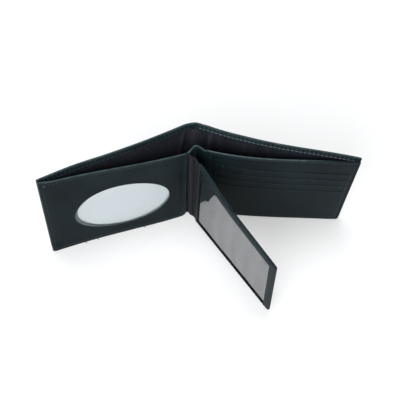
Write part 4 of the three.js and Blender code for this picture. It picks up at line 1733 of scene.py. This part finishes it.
small = [SHEET_CORNER] * 4
vinyl = flap_sheet("flap_vinyl", VINYL_INSET, small, vinyl_depth, VINYL_THICK, clear_vinyl, VINYL_COUNTS)
fit(vinyl, "flap", "clear_sheet", "flap_window")
finish = cloths["divider_cloth"]
divider = flap_sheet("flap_divider_cloth", DIVIDER_INSET, small, divider_depth, CLOTH, finish)
fit(divider, "flap", "lining", "flap_divider")
back_corners = [HINGE_CORNER, FLAP_CORNER, HINGE_CORNER, FLAP_CORNER]
flap_back = flap_sheet("flap_back_leather", 0.0, back_corners, back_depth, BACK_THICK, black_leather)
fit(flap_back, "flap", "leather", "flap_back")

# %% [markdown]
# One seam holds the flap's layers together. It shows as a row on the frame and as another on the back.

# %% Flap seam
FLAP_SEAM = 2.2 * MM
FLAP_SEAM_INNER = 1.2 * MM
FLAP_SEAM_FOOT = 1.0 * MM


def frame_face(x, z):
    """Front of the frame along the seam."""
    return np.full_like(x, frame_depth(FLAP_SEAM) - FRAME_THICK / 2)


def back_face(x, z):
    """Rear of the flap's back."""
    return back_depth(x, z) + BACK_THICK / 2


def flap_seam(face_of, outwards):
    """A row round the flap on one of its faces."""
    low = (FLAP_START + FLAP_SEAM_INNER, FLAP_FOOT + FLAP_SEAM_FOOT)
    high = (FLAP_END - FLAP_SEAM, FLAP_TOP - FLAP_SEAM)
    x, z = rounded_outline(low, high, [SEAM_CORNER] * 4, SEAM_SIDE_COUNT).T
    z = flap_taper(x, z)
    face = face_of(x, z)
    line = flap_point(x, z, face)
    return line, unit(flap_point(x, z, face + outwards * MM) - line), 0


flap_stitches = stitch_rows("flap_stitches", [flap_seam(frame_face, -1), flap_seam(back_face, 1)])
fit(flap_stitches, "flap", "thread", "flap_thread")

# %% [markdown]
# A strip of cloth carries the flap. It leaves the left panel's inner edge, turns a quarter round and is
# sewn into the flap's frame, with a few upright pleats where it bends. Its foot hangs lower at the panel's
# end.

# %% Flap hinge
HINGE_THICK = 0.45 * MM
HINGE_START = np.array([-1.2, 1.35]) * MM
HINGE_BEND = np.array([3.6, 1.3]) * MM
HINGE_SEWN = FLAP_START + 1.5 * MM
HINGE_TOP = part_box("flap_frame")[1].z
HINGE_DROP = 0.8 * MM
HINGE_DROP_FROM = 0.5
HINGE_SINK = 4.0 * MM
HINGE_PLEAT = 0.5 * MM
HINGE_PLEATS = 2
HINGE_PHASE = -2.2
HINGE_SLANT = 1.2
HINGE_CREST = 0.6
HINGE_RIM = 0.004
HINGE_COUNTS = {"round": 48, "up": 40}


def flap_hinge():
    """A quadratic curve in plan from the panel's edge to the flap, carried up, with pleats across it."""
    along = np.array([np.cos(PANEL_ANGLE), np.sin(PANEL_ANGLE)])
    axes = np.stack([along, [-along[1], along[0]]])
    start = FLAP_PIVOT + HINGE_START @ axes
    bend = FLAP_PIVOT + HINGE_BEND @ axes
    t = np.linspace(0, 1, HINGE_COUNTS["round"])[None, :, None]
    share = spaced(1.0, HINGE_COUNTS["up"], HINGE_RIM, zone=None)[:, None, None]
    top = HINGE_TOP - HINGE_DROP * smooth((t - HINGE_DROP_FROM) / (1 - HINGE_DROP_FROM))
    foot = FLAP_FOOT - HINGE_SINK * (1 - t**2)
    z = foot + (top - foot) * share
    end = flap_point(HINGE_SEWN, z[..., 0], VINYL_DEPTH)[..., :2]
    plan = (1 - t) ** 2 * start + 2 * t * (1 - t) * bend + t**2 * end
    tangent = unit(2 * (1 - t) * (bend - start) + 2 * t * (end - bend))
    aside = stacked(-tangent[..., 1], tangent[..., 0])
    phase = 2 * np.pi * HINGE_PLEATS * t + HINGE_PHASE + HINGE_SLANT * share
    pleats = np.sin(phase) * np.sin(np.pi * t)
    middle = np.concatenate([plan + HINGE_PLEAT * pleats * aside, z], -1)
    crests = np.clip(-pleats[..., 0], 0, 1)
    sewn_end = flap_point(HINGE_SEWN, 0.0, VINYL_DEPTH)[:2]
    length = np.linalg.norm(sewn_end - bend) + np.linalg.norm(bend - start)
    across = t[..., 0] * length
    rim = nearest((z - foot)[..., 0], (top - z)[..., 0], across, length - across)
    uv = stacked(across, z[..., 0])
    # Paler rim from rubbing and a painted highlight, and a painted highlight on the crests of the pleats.
    edge = np.maximum(rub_and_highlight(rim + HINGE_RUB_HIGHLIGHT_INSET), HINGE_CREST * crests)
    finish = cloths["hinge_cloth"]
    piece = closed_sheet("flap_hinge_cloth", middle, uv, rim, HINGE_THICK, finish, edge, turn=-1)
    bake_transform(piece)
    dress(piece, "lining", "flap_hinge_strip")


flap_hinge()
